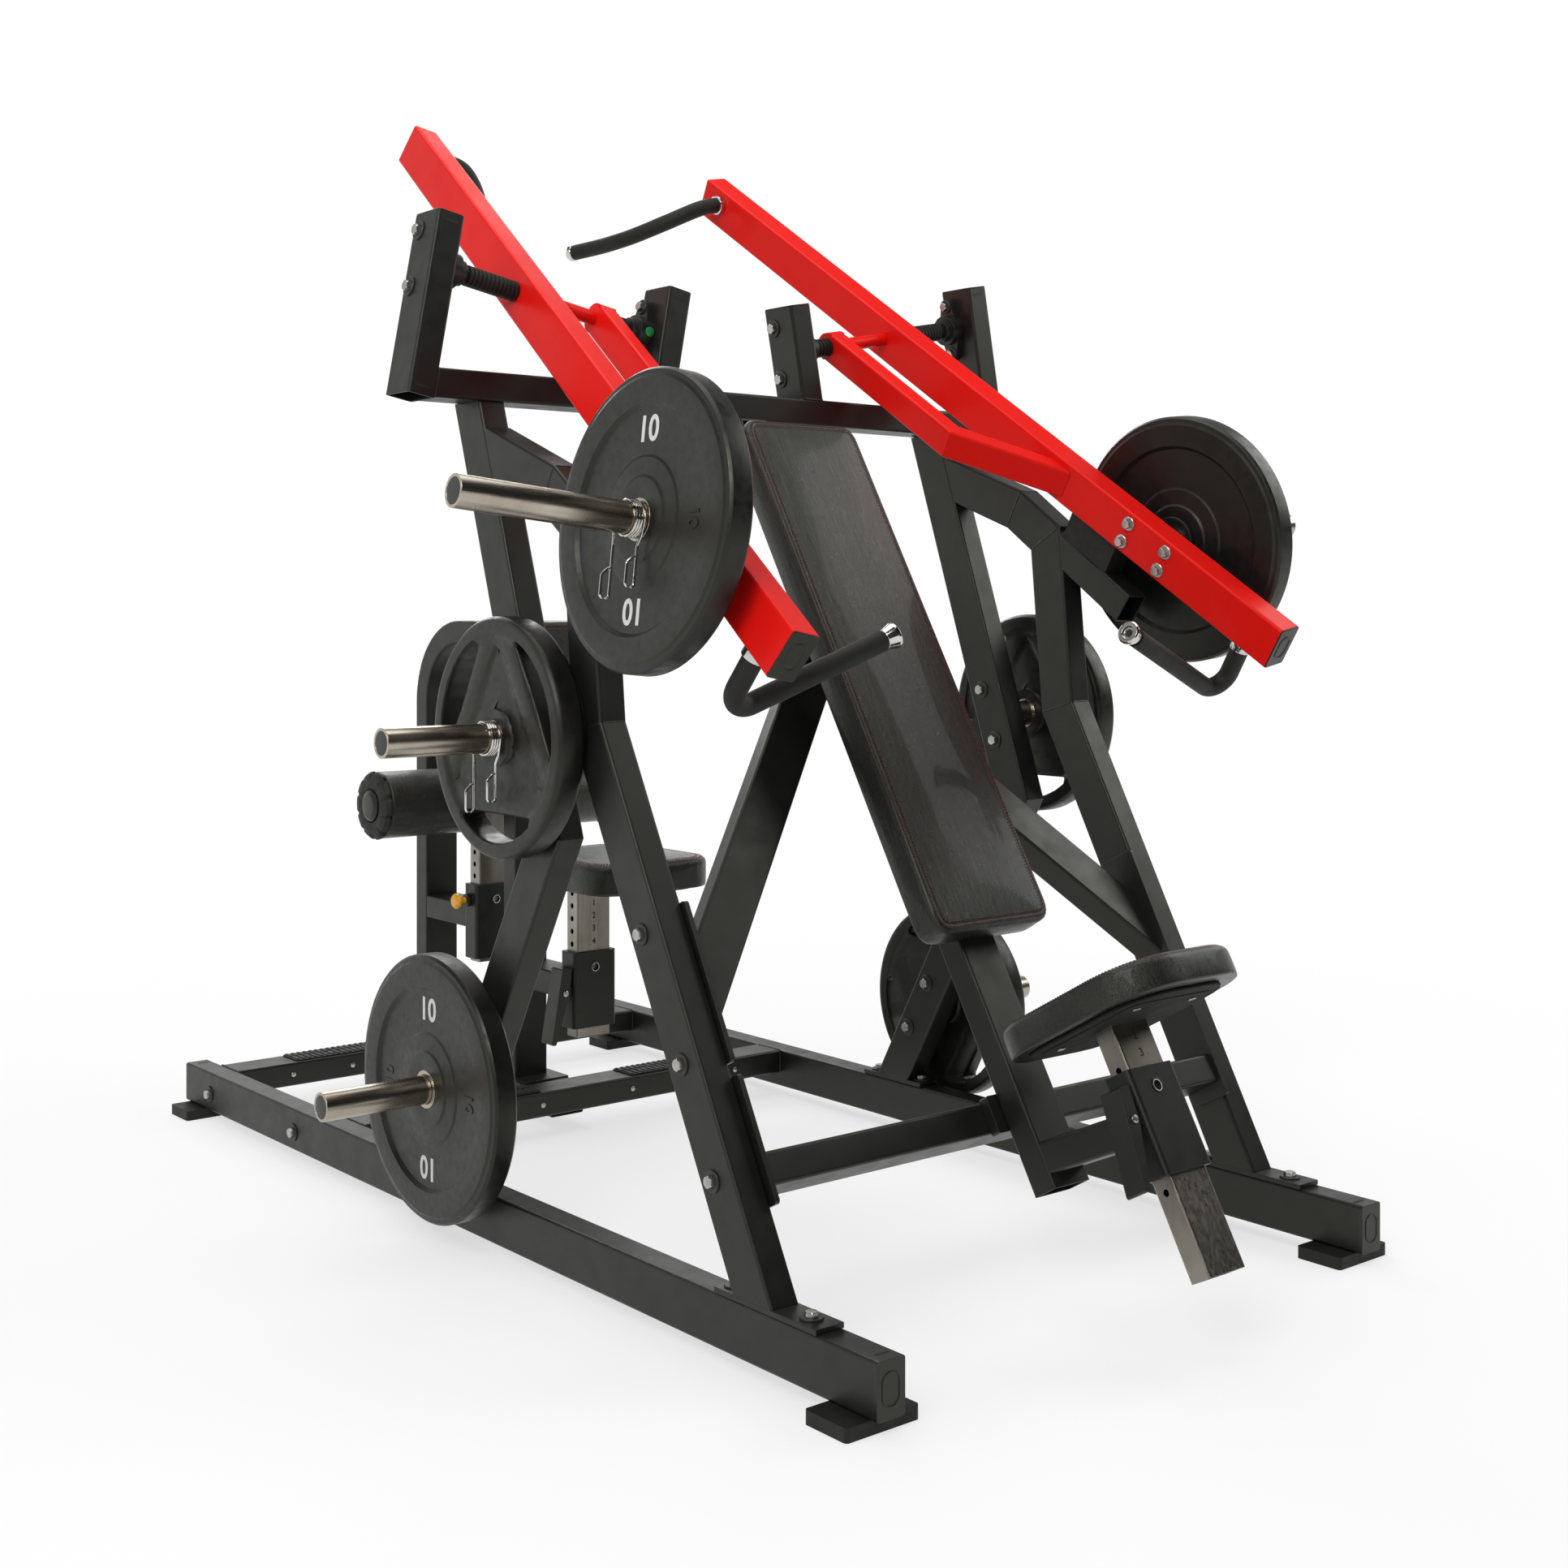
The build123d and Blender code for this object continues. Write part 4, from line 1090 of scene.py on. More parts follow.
    def bolts(self) -> None:
        """The structural bolts: washers black, heads zinc plated."""
        big, small = HexBolt(), HexBolt(9, 7.5, 14)
        places = [Axes.facing(vec(-LEG_X, y, 108), Z) for y in (-946, -778, 92, -34)]
        places += [Axes.facing(vec(-RAIL_OUT, y, z), -X)
                   for y, z in ((-580, 588), (-681, 411), (-756, 257), (985, 55), (589.5, 55))]
        places += [Axes.facing(on_pivot(k, u), W_DIR * way)
                   for k, way in ((-200, -1), (328, 1)) for u in (-48.5, 48.5)]
        places += [Axes.facing(vec(-RAIL_IN, y, z), X)
                   for y, z in ((-233, 916), (-269, 819), (-75, 315), (-20, 218))]
        inner = [Axes.facing(on_pivot(k, u), W_DIR * way)
                 for k, way in ((-136, 1), (264, -1)) for u in (-48.5, 48.5)]
        heads = Shell.joined([big.heads(places), small.heads(inner)])
        washers = Shell.joined([big.washers(places), small.washers(inner)])
        dress(heads.with_twin(), "frame_bolt_heads", Stock.ZINC, Body.FRAME, ("frame_bolts",), 30)
        dress(washers.with_twin(), "frame_bolt_washers", Stock.WASHER, Body.FRAME)

    def treads(self) -> None:
        """Rubber treads on the cross bars: two rows of short ribs on a mat."""
        mat = slab(rectangle(260, 68, 4), 3.0, 0.8, FLAT)
        rib = slab(rectangle(7.5, 29, 2), 5.0, 1.0, FLAT)
        mats = [Axes(vec(-240, y, 100), X, Z) for y in self.bars]
        ribs = [Axes(vec(x, y + row, 100), X, Z) for y in self.bars for row in (-16.5, 16.5)
                for x in np.linspace(-363.5, -116.5, 19)]
        treads = Shell.joined([mat.copied(mats), rib.copied(ribs)])
        dress(treads.with_twin(), "ribbed_treads", Stock.RUBBER, Body.FRAME, ("foot_treads",))

    def screws(self) -> None:
        """Small pan-head screws on the front faces of the cross bars."""
        pan = soft_turned([(0, 0), (5.5, 0), (5.5, 2.4), (0, 3.2)], 0.9, FLAT, 24)
        places = [Axes.facing(vec(x, y - 40, 75), -Y) for y in self.bars
                  for x in (-380, -240, -110)]
        dress(pan.copied(places).with_twin(), "tread_screws", Stock.ZINC, Body.FRAME)

    def plugs(self) -> None:
        """Plugs in the posts' tops, ovals on the rails' plugs, and thin dark sheets as painted
        shade in pry slots.
        """
        plug = slab(rectangle(TUBE_W - 0.6, TUBE_D - 0.6, 5), 3.0, 0.8, FLAT)
        rim = oval_rim(46, 30, 14.5, 3.2, 1.1)
        post_tops = [Axes.facing(on_pivot(-175, 77) + vec(0, -18, 0), U_DIR, Y),
                     Axes.facing(on_pivot(303, 84) + vec(0, -18, 0), U_DIR, Y)]
        dress(plug.copied(post_tops).with_twin(), "post_plugs", Stock.PLASTIC, Body.FRAME)
        rails = [Axes.facing(vec(-LEG_X, way * (self.rail_half - 3.0), 60), Y * way, Z)
                 for way in (-1, 1)]
        dress(rim.copied(rails).with_twin(), "rail_plug_rims", Stock.PLASTIC, Body.FRAME)
        # The pry slots are not cut: each is a thin dark sheet, painted shade where the slot's
        # hollow would be.
        slot = slab(rectangle(26, 5, 2.4), 0.5, 0.15, FLAT)
        marks = [Axes.facing(vec(-LEG_X + 4, way * (self.rail_half - 22), self.rail_top - 0.1), Z)
                 for way in (-1, 1)]
        marks += [Axes.facing(on_pivot(-175, 79.8) + vec(0, -18, 0), U_DIR, X),
                  Axes.facing(on_pivot(303, 86.8) + vec(0, -18, 0), U_DIR, X)]
        marks += [Axes.facing(on_pivot(k, u) - Y * (58 - 0.1), -Y, W_DIR)
                  for k, u in ((-175, 64), (-175, -218), (303, 71))]
        dress(slot.copied(marks).with_twin(), "pry_slot_painted_shade", Stock.SOCKET, Body.FRAME)

    def bearing_plugs(self) -> None:
        """Green caps on both edges of the inner flange bearings."""
        cap = [(0, 0), (9, 0), (9, 3), (6, 4.5), (0, 4.5)]
        places = [Axes.facing(on_pivot(268, 0) + Y * 29 * way, Y * way) for way in (-1, 1)]
        dress(turned(cap, FLAT, 24).copied(places).with_twin(),
              "bearing_plugs", Stock.GREEN, Body.FRAME)

    def build(self, nodes: dict) -> None:
        """Dresses the frame.

        Args:
            nodes: the frame's node objects by name.
        """
        self.paint(nodes)
        self.welds()
        self.bolts()
        self.treads()
        self.screws()
        self.plugs()
        self.bearing_plugs()


# ---- upholstery -------------------------------------------------------------
@dataclass
class Pad:
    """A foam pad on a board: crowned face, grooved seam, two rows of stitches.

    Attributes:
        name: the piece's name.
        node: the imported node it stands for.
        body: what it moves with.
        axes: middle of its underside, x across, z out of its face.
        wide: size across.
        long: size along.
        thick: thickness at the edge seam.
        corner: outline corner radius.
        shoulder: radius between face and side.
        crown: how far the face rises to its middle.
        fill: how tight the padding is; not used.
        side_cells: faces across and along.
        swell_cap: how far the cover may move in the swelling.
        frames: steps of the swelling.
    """

    name: str
    node: str
    body: Body
    axes: Axes
    wide: float
    long: float
    thick: float
    corner: float
    shoulder: float = 11.0
    crown: float = 5.0
    fill: float = 0.85
    side_cells: tuple = (16, 40)
    swell_cap: float = 2.6
    frames: int = 12

    def outline(self, inset: float) -> Array:
        """The pad's outline pulled in by a distance, with points evenly laid.

        Args:
            inset: the distance.

        Returns:
            (n, 2) points, starting in the middle of a corner; each side of the
            outline has its own count, so that a square grid can meet it.
        """
        w, d = self.wide / 2 - inset, self.long / 2 - inset
        r = max(self.corner - inset, 1.5)
        arcs = rounded_path([(-w, -d), (w, -d), (w, d), (-w, d)], r, 16, closed=True)
        ring, gone = closed_ring(np.roll(arcs, -8, 0))  # from a corner's middle
        stops = gone[np.arange(5) * 17]
        counts = (self.side_cells[0], self.side_cells[1]) * 2
        at = np.concatenate([np.linspace(stops[i], stops[i + 1], n, endpoint=False)
                             for i, n in enumerate(counts)])
        return walked(ring, gone, at)

    def panel(self, inset: float, height: float, crown: float) -> Array:
        """A grid that fills the outline at an inset.

        A cell (u, v) of the square from -1 to 1 lies at its larger coordinate's
        share of the way from the middle to the outline, and the face rises by
        (1 - |u|^3)(1 - v^4) of the crown.

        Args:
            inset: how far in the grid's border lies.
            height: the border's height.
            crown: the rise.

        Returns:
            (rows, columns, 3) local points.
        """
        nx, ny = self.side_cells
        rim = self.outline(inset)
        u, v = np.meshgrid(np.linspace(-1, 1, nx + 1), np.linspace(-1, 1, ny + 1))
        m = np.maximum(np.maximum(np.abs(u), np.abs(v)), 1e-9)
        bu, bv = u / m, v / m
        low, right = nx * (bu + 1) / 2, nx + ny * (bv + 1) / 2
        high, left = nx + ny + nx * (1 - bu) / 2, 2 * nx + ny + ny * (1 - bv) / 2
        place = np.select([bv <= -1 + 1e-9, bu >= 1 - 1e-9, bv >= 1 - 1e-9], [low, right, high],
                          left)
        index = np.arange(len(rim) + 1)
        looped = np.concatenate([rim, rim[:1]])
        x, y = (np.interp(place, index, looped[:, i]) * m for i in range(2))
        rise = crown * (1 - np.abs(u) ** 3) * (1 - np.abs(v) ** 4)
        return np.stack((x, y, height + rise), axis=-1)

    def rings(self) -> tuple[list[tuple[float, float]], float]:
        """The section from the board's rim up over the shoulder to the face.

        Returns:
            Pairs of (inset, height), and the inset at which the face begins.
        """
        s, top = self.shoulder, self.thick
        bulge = [(1.6, 0.0), (0.5, 2.0), (0.0, top * 0.3), (0.0, top * 0.5)]
        arc = [(s * (1 - math.cos(a)), top - s + s * math.sin(a))
               for a in np.linspace(0, math.pi / 2, 7)]
        groove = [(s + 1.4, top + 0.1), (s + 2.2, top - 1.1), (s + 3.0, top + 0.2),
                  (s + 5.0, top + 0.7)]
        return bulge + arc + groove, s + 5.0

    def shell(self) -> Shell:
        """The whole pad: board side, border, groove and face.

        Returns:
            The closed shell.
        """
        section, begin = self.rings()
        loops = layered([(self.outline(i), h) for i, h in section])
        face = self.panel(begin, self.thick + 0.7, self.crown)
        under = self.panel(1.6, 0.0, 0.0)
        local = Shell.joined([Shell.grid(loops, wrap_cols=True), Shell.grid(face),
                              Shell.grid(under)])
        return Shell(self.axes.put(local.points), local.faces)

    def swell(self, made: bpy.types.Object) -> None:
        """Blows the cover up a little as cloth over foam, and keeps the result.

        The rim of the board and the seam are held. No point may move further
        than the cap.

        Args:
            made: the pad's object.
        """
        mesh = made.data
        start = points_of(mesh)
        local = start / MM - vec(0, DATUM_Y, 0) - self.axes.origin
        height = local @ self.axes.z
        inner = (np.abs(local @ self.axes.x) < self.wide / 2 - self.shoulder - 4) & (
            np.abs(local @ self.axes.y) < self.long / 2 - self.shoulder - 4)
        held = np.flatnonzero((height < 3.0) | (~inner & (height > self.thick - 2.0)))
        group = made.vertex_groups.new(name="held")
        group.add(held.tolist(), 1.0, "REPLACE")
        cloth = made.modifiers.new("cover", "CLOTH")
        cloth.settings.use_pressure = True
        cloth.settings.uniform_pressure_force = 4.0
        cloth.settings.effector_weights.gravity = 0.0
        cloth.settings.vertex_group_mass = "held"
        cloth.settings.tension_stiffness = cloth.settings.compression_stiffness = 40
        cloth.point_cache.frame_start, cloth.point_cache.frame_end = 1, self.frames
        scene = bpy.context.scene
        for frame in range(1, self.frames + 1):
            scene.frame_set(frame)
        ready = made.evaluated_get(bpy.context.evaluated_depsgraph_get())
        moved = points_of(ready.data)
        made.modifiers.clear()
        made.vertex_groups.clear()
        scene.frame_set(1)
        step = moved - start
        far = np.linalg.norm(step, axis=1, keepdims=True)
        step *= np.minimum(1.0, self.swell_cap * MM / np.maximum(far, 1e-9))
        mesh.vertices.foreach_set("co", (start + step).ravel())
        mesh.update()

    def stitches(self, inset: float, height: float, pitch: float = 5.5) -> Shell:
        """A row of short threads round the face.

        Each thread is a spindle 0.72 of the pitch long and 1.24 mm thick, lying along
        the outline.

        Args:
            inset: distance in from the outline.
            height: height of the row.
            pitch: distance between threads.

        Returns:
            The threads.
        """
        looped, gone = closed_ring(self.outline(inset))
        count = int(gone[-1] / pitch)
        at = np.arange(count) * gone[-1] / count
        mid, ahead = (walked(looped, gone, (at + d) % gone[-1]) for d in (0.0, 1.0))
        along = np.column_stack((unit(ahead - mid), np.zeros(count)))
        side = np.cross(vec(0, 0, 1), along)
        t = np.linspace(-1, 1, 5)
        fat = np.sqrt(np.maximum(1 - t ** 2, 0)) * 0.62
        a = np.arange(6) * math.tau / 6
        core = np.column_stack((mid, np.full(count, height)))
        reach = (t * pitch * 0.36)[None, :, None, None]
        local = (core[:, None, None] + along[:, None, None] * reach
                 + side[:, None, None] * (fat[:, None] * np.cos(a))[None, :, :, None]
                 + vec(0, 0, 1) * (fat[:, None] * np.sin(a))[None, :, :, None])
        one = Shell.grid(local[0], wrap_cols=True)
        shift = np.arange(count)[:, None, None] * len(one.points)
        return Shell(self.axes.put(local.reshape(-1, 3)),
                     (one.faces[None] + shift).reshape(-1, 4))

    def build(self) -> bpy.types.Object:
        """Makes the cover and its threads.

        Returns:
            The cover.
        """
        made = settle(self.shell(), self.name, 80)
        self.swell(made)
        finer = made.modifiers.new("finer", "SUBSURF")
        finer.levels = finer.render_levels = 1
        attach(made, Stock.VINYL, self.body, (self.node,))
        s = self.shoulder
        rows = Shell.joined([self.stitches(s + 6.2, self.thick + 1.5),
                             self.stitches(s - 2.6, self.thick - 0.1)])
        dress(rows, self.name + "_thread", Stock.THREAD, self.body, smooth=80)
        return made


@dataclass
class Upholstery:
    """All four pads, their boards and screws."""

    def pads(self) -> list[Pad]:
        """The pads with their places and sizes.

        Returns:
            The four pads.
        """
        back = Pad("back_cushion", "back_pad", Body.FRAME,
                   Axes(on_spine(0, 164 + 979 / 2, 0), X, -B_DIR), 257, 978, 56, 26, 10, 3.4,
                   side_cells=(18, 56))
        seat = Pad("press_seat_cushion", "seat_pad", Body.PRESS_SEAT,
                   Axes(on_seat(0, -234, 12), X, -T_DIR), 279, 344, 49, 98, 13, 4.4,
                   side_cells=(28, 32))
        lat = Pad("pulldown_seat_cushion", "lat_seat_pad", Body.LAT_SEAT,
                  Axes(vec(0, 304, 523), X, Z), 289, 331, 58, 70, 13, 5.4, side_cells=(28, 32))
        chest = Pad("thigh_side_cushion", "chest_pad", Body.FRAME,
                    Axes(vec(0, 605, 929), X, -Y), 259, 239, 55, 22, 11, 4.4,
                    side_cells=(26, 24))
        return [back, seat, lat, chest]

    def boards(self) -> None:
        """Lips round the undersides of the seats and the screws that hold them."""
        pan = soft_turned([(0, -0.5), (6.5, -0.5), (6.5, 2.6), (0, 3.4)], 0.9, FLAT, 24)
        under = Axes(on_seat(0, -228, 12), X, T_DIR)
        at = [Axes(under.at(x, y, 0), X, T_DIR) for x in (-62, 62) for y in (-84, 84)]
        dress(pan.copied(at), "press_seat_screws", Stock.ZINC, Body.PRESS_SEAT)
        low = [Axes.facing(vec(x, y, 517), -Z) for x in (-62, 62) for y in (236, 404)]
        dress(pan.copied(low), "pulldown_seat_screws", Stock.ZINC, Body.LAT_SEAT)
        boards = [slab(rectangle(232, 286, 78), 5.0, 1.2, Axes(on_seat(0, -229, 12), X, -T_DIR)),
                  slab(rectangle(181.2, 221.2, 21), 7.0, 0.8,
                       Axes(on_seat(0, -234 + 6.6, 12), X, -T_DIR))]
        dress(Shell.joined(boards), "press_seat_board", Stock.BACKING, Body.PRESS_SEAT)
        boards = [slab(rectangle(240, 280, 52), 5.0, 1.2, Axes(vec(0, 304, 518), X, Z)),
                  slab(rectangle(181.2, 241.2, 4), 7.0, 0.8, Axes(vec(0, 320, 516.4), X, Z))]
        dress(Shell.joined(boards), "pulldown_seat_board", Stock.BACKING, Body.LAT_SEAT)

    def build(self) -> None:
        """Makes every pad."""
        for pad in self.pads():
            pad.build()
        self.boards()


# ---- plates, sleeves and clips ----------------------------------------------
@dataclass(frozen=True)
class BumperPlate:
    """A full-size rubber plate: bevelled tread, raised band, dished web, steel hub."""

    radius: float = 225.0
    thick: float = 48.0
    bore: float = 24.6

    def profile(self) -> list[tuple[float, float]]:
        """Half section of the rubber from the hub out to the tread and back.

        Returns:
            Pairs of (radius, height).
        """
        h, r = self.thick, self.radius
        face = [(31, 0.8), (62, 0.8), (66, 3.4), (92, 4.6), (96, 6.6), (166, 6.6), (172, 0.4),
                (r - 15, 0.4), (r - 10, 2.6), (r - 4, 3.4), (r, 8)]
        return face + [(a, h - b) for a, b in reversed(face)]

    def rubber(self, axes: Axes) -> Shell:
        """The rubber body."""
        return soft_turned(self.profile(), 1.1, axes, 128, ring=True, steps=3)

    def hub(self, axes: Axes) -> Shell:
        """The steel ring in the bore, a little proud of the web.

        Args:
            axes: the piece's place.

        Returns:
            The ring.
        """
        ring = band(self.bore, self.bore + 7.5, 0.3, self.thick - 0.3)
        return soft_turned(ring, 0.8, axes, 64, ring=True, steps=3)

    def numbers(self, axes: Axes) -> Shell:
        """A raised weight figure at each side of the outer face's web.

        Args:
            axes: the piece's place.

        Returns:
            The figures.
        """
        places = [Axes(axes.at(132 * way, 0, self.thick - 6.5), axes.y * -way, axes.z)
                  for way in (-1, 1)]
        return Shell.joined([figures("10", 26, 0.9, p) for p in places])

    def printed(self, axes: Axes) -> Shell:
        """A plain white weight figure above and below the hub.

        Args:
            axes: the piece's place.

        Returns:
            The figures.
        """
        places = [Axes(axes.at(0, 132 * way, self.thick - 6.5), axes.x * way, axes.z)
                  for way in (-1, 1)]
        return Shell.joined([figures("10", 40, 0.35, p) for p in places])

    def build(self, name: str, axes: Axes, body: Body, node: str, side: Side) -> None:
        """Makes the plate's pieces.

        Args:
            name: start of the pieces' names.
            axes: inner face's middle; z points away from the bench.
            body: what it moves with.
            node: the node it stands for.
            side: which side of the bench.
        """
        dress(side.of(self.rubber(axes)), name + "_rubber", Stock.PLATE, body, (node,), 28)
        dress(side.of(self.hub(axes)), name + "_hub", Stock.STEEL, body)
        # Figures read the same way on both sides, so their mirror image is turned back.
        flip = axes if side is Side.LEFT else Axes(axes.origin * vec(-1, 1, 1),
                                                   axes.x * vec(-1, 1, 1), axes.z * vec(-1, 1, 1))
        dress(self.numbers(flip), name + "_figures", Stock.PLATE, body)
        dress(self.printed(flip), name + "_print", Stock.WHITE, body)


@dataclass(frozen=True)
class GripPlate:
    """A smaller plate: three hand holes, a three-cornered dish and a round raised hub.

    Attributes:
        radius: outer radius.
        thick: thickness.
        bore: hole for the sleeve.
        rim: width of the rim outside a hole.
        bar: distance from the middle to a hole's flat side.
        turn: angle of the first hole.
    """

    radius: float = 196.0
    thick: float = 50.0
    bore: float = 24.6
    rim: float = 27.0
    bar: float = 123.0
    turn: float = 0.0

    def hole(self, count: int) -> Array:
        """One hole's outline: an arc inside the rim and a flat chord, corners eased.

        Args:
            count: points round it.

        Returns:
            (n, 2) points.
        """
        far = self.radius - self.rim
        half = math.sqrt(far ** 2 - self.bar ** 2) - 14
        a = np.linspace(-1, 1, 9) * math.asin(half / far)
        arc = np.stack((far * np.cos(a), far * np.sin(a)), axis=-1)
        chord = vec(self.bar, half), vec(self.bar, -half)
        ring = rounded_path(np.concatenate([arc, chord]), 5.0, 3, closed=True)
        looped, gone = closed_ring(ring)
        return walked(looped, gone, np.linspace(0, gone[-1], count, endpoint=False))

    def border(self, ring: Array) -> Array:
        """The third-of-a-disc outline that each hole point looks out to.

        A point at angle a from the hole's middle goes to the rim, to the hub or to
        one of the two radial cuts at 60 degrees, whichever its ray meets first.

        Args:
            ring: the hole's points.

        Returns:
            One point for each.
        """
        middle = vec(self.radius - self.rim - 18, 0)
        d = unit(ring - middle)
        far = np.full(len(d), 1e9)
        b, c = d @ middle, middle @ middle - (self.radius - 6) ** 2
        far = np.minimum(far, -b + np.sqrt(b * b - c))
        for way in (-1, 1):
            n = vec(-math.sin(math.pi / 3) * way, math.cos(math.pi / 3))
            reach = -(middle @ n) / np.where(np.abs(d @ n) < 1e-9, 1e-9, d @ n)
            far = np.minimum(far, np.where(reach > 0, reach, 1e9))
        inner = middle @ middle - 46.0 ** 2
        root = b * b - inner
        hit = np.where(root > 0, -b - np.sqrt(np.maximum(root, 0)), 1e9)
        far = np.minimum(far, np.where(hit > 0, hit, 1e9))
        return middle + d * far[:, None]

    def height(self, x: Array, y: Array) -> Array:
        """Face height over the middle plane.

        The rim is high, the bars beside the holes are round, and the middle is a
        shallow three-cornered dish. Its edge lies where the largest of the three
        distances along the hole directions reaches the dish's size; the mean of
        their 8th powers rounds its corners.

        Args:
            x: first coordinate.
            y: second coordinate.

        Returns:
            The heights.
        """
        r = np.hypot(x, y)
        full = self.thick / 2
        thirds = (0, math.tau / 3, -math.tau / 3)
        along = np.stack([x * math.cos(a) + y * math.sin(a) for a in thirds])
        tri = (np.maximum(along, 0) ** 8).sum(0) ** 0.125
        dish = smooth_step(tri, 78, 81) - 1.0
        hub = 1.0 - smooth_step(r, 44, 47)
        groove = np.exp(-((tri - 77) / 1.8) ** 2) * smooth_step(r, 48, 60)
        bar = 1.6 * (smooth_step(tri, 84, 100) - smooth_step(tri, 108, 124))
        outer = smooth_step(r, 152, 168)
        return (full - 6.6 + 3.2 * dish * (1 - hub) + 6.4 * hub - 1.2 * groove
                + bar * (1 - outer) + 6.2 * outer - 2.0 * smooth_step(r, 184, 196))

    def solid(self, axes: Axes) -> Shell:
        """The plate as both faces, the hole walls, the tread and the bore.

        Args:
            axes: the piece's place.

        Returns:
            The closed shell.
        """
        count = 96
        ring = self.hole(count)
        edge = self.border(ring)
        t = np.concatenate([[0, 0.02, 0.05, 0.1], np.linspace(0.17, 1, 12)])[:, None, None]
        flat = ring[None] * (1 - t) + edge[None] * t
        drop = 4.0 * np.clip(1 - t[:, :, 0] / 0.1, 0, 1) ** 2
        z = self.height(flat[..., 0], flat[..., 1]) - drop
        wall = np.linspace(1, -1, 6)[:, None, None]
        shells = []
        spins = [math.radians(self.turn + 120 * i) for i in range(3)]
        top = np.concatenate([flat, z[..., None]], axis=-1)
        low = np.concatenate([flat, -z[..., None]], axis=-1)
        side = np.concatenate([np.broadcast_to(ring[None], (6, count, 2)), wall * z[:1, :, None]],
                              axis=-1)
        for grid in (top, low, side):
            for a in spins:
                m = np.array([[math.cos(a), math.sin(a), 0], [-math.sin(a), math.cos(a), 0],
                              [0, 0, 1]])
                shells.append(Shell.grid(grid @ m, wrap_cols=True))
        local = Shell.joined(shells)
        centre = axes.at(0, 0, self.thick / 2)
        body = Shell(Axes(centre, axes.x, axes.z).put(local.points), local.faces)
        e = float(self.height(np.array([190.0]), np.array([0.0]))[0])
        tread = [(188.5, -e), (190, -e), (194.5, -e + 4), (196, -e + 9), (196, e - 9),
                 (194.5, e - 4), (190, e), (188.5, e)]
        hub = [(47, 24.9), (self.bore + 4, 24.9), (self.bore, 22), (self.bore, -22),
               (self.bore + 4, -24.9), (47, -24.9)]
        spin = Axes(centre, axes.x, axes.z)
        bands = [turned(tread, spin, 144), turned(hub, spin, 96)]
        for near, far in ((40.0, 64.0), (172.0, 191.0)):
            r = np.linspace(near, far, 9)
            up = self.height(r, r * 0) - 0.06
            bands += [turned(np.column_stack((r, up * way)), spin, 96) for way in (1, -1)]
        return Shell.joined([body, *bands])

    def build(self, name: str, axes: Axes, node: str, side: Side) -> None:
        """Makes the plate's pieces on the frame.

        Args:
            name: start of the pieces' names.
            axes: the piece's place.
            node: the node it stands for.
            side: which side of the bench.
        """
        dress(side.of(self.solid(axes)), name + "_rubber", Stock.PLATE, Body.FRAME, (node,), 40)
        ring = band(self.bore, self.bore + 6, 0.6, self.thick - 0.2)
        dress(side.of(soft_turned(ring, 0.6, axes, 64, ring=True)), name + "_hub", Stock.STEEL,
              Body.FRAME)


@dataclass(frozen=True)
class SpringClip:
    """A coiled wire clip with two looped fingers that hang below the sleeve.

    Attributes:
        wire: wire radius.
        coil: radius of the coil's middle line.
        turns: turns of the coil.
        deep: width of the coil along the sleeve.
        reach: how far below the axis the inner and the outer finger end.
        spread: how far each finger hangs to its side.
        loop: width of a finger's loop along the sleeve.
    """

    wire: float = 2.1
    coil: float = 26.6
    turns: float = 3.9
    deep: float = 21.0
    reach: tuple = (100.0, 118.0)
    spread: float = 19.0
    loop: float = 15.0

    def finger(self, way: int, start: float, reach: float) -> Array:
        """A finger's line: down from the coil, round its loop, back up to itself.

        Args:
            way: -1 or 1, the side it hangs to.
            start: where along the sleeve it leaves the coil.
            reach: how far down it ends.

        Returns:
            (n, 3) local points.
        """
        s, w = self.spread * way, self.loop
        top = reach - 43
        corners = [(4, way * self.coil, start), (26, way * (self.coil - 3), start + 1.5),
                   (40, s, start + 4), (reach, s, start + 4), (reach, s, start + 4 + w),
                   (top + 9, s, start + 4 + w), (top, s, start + 10), (top - 1.5, s, start + 5)]
        return rounded_path(corners, 5.0, 5)

    def shell(self, axes: Axes) -> Shell:
        """The wire: one helix and, at each end, a straight leg with a long loop.

        Args:
            axes: the clip's inner end on the sleeve's axis; x points down.

        Returns:
            The wires.
        """
        low, high = self.wire, self.deep - self.wire
        a = np.linspace(math.pi / 2, math.pi / 2 - self.turns * math.tau, 130)
        helix = np.stack((self.coil * np.cos(a), self.coil * np.sin(a),
                          np.linspace(low, high, 130)), axis=-1)
        lines = [helix, self.finger(1, low, self.reach[0]), self.finger(-1, high, self.reach[1])]
        return Shell.joined([swept(axes.put(line), circle(self.wire, 10), axes.z + axes.x * 0.01)
                             for line in lines])


@dataclass(frozen=True)
class Sleeve:
    """A bright plate sleeve with an eased end and a dark end plug."""

    radius: float = 24.0

    def tube(self, axes: Axes, start: float, end: float) -> Shell:
        """The sleeve between two distances along z.

        Args:
            axes: the piece's place.
            start: the first distance.
            end: the second.

        Returns:
            The tube.
        """
        r = self.radius
        return soft_turned([(0, start), (r, start), (r, end), (r - 4.5, end), (r - 5, end - 1),
                            (0, end - 1)], 0.8, axes, 64)

    def plug(self, axes: Axes, end: float) -> Shell:
        """The slightly domed plug in the sleeve's mouth.

        Args:
            axes: the piece's place.
            end: the sleeve's length.

        Returns:
            The plug.
        """
        r = self.radius - 4.5
        return turned([(0, end - 1.4), (r, end - 1.4), (r, end - 0.4), (r * 0.7, end + 0.1),
                       (0, end + 0.2)], axes, 48)


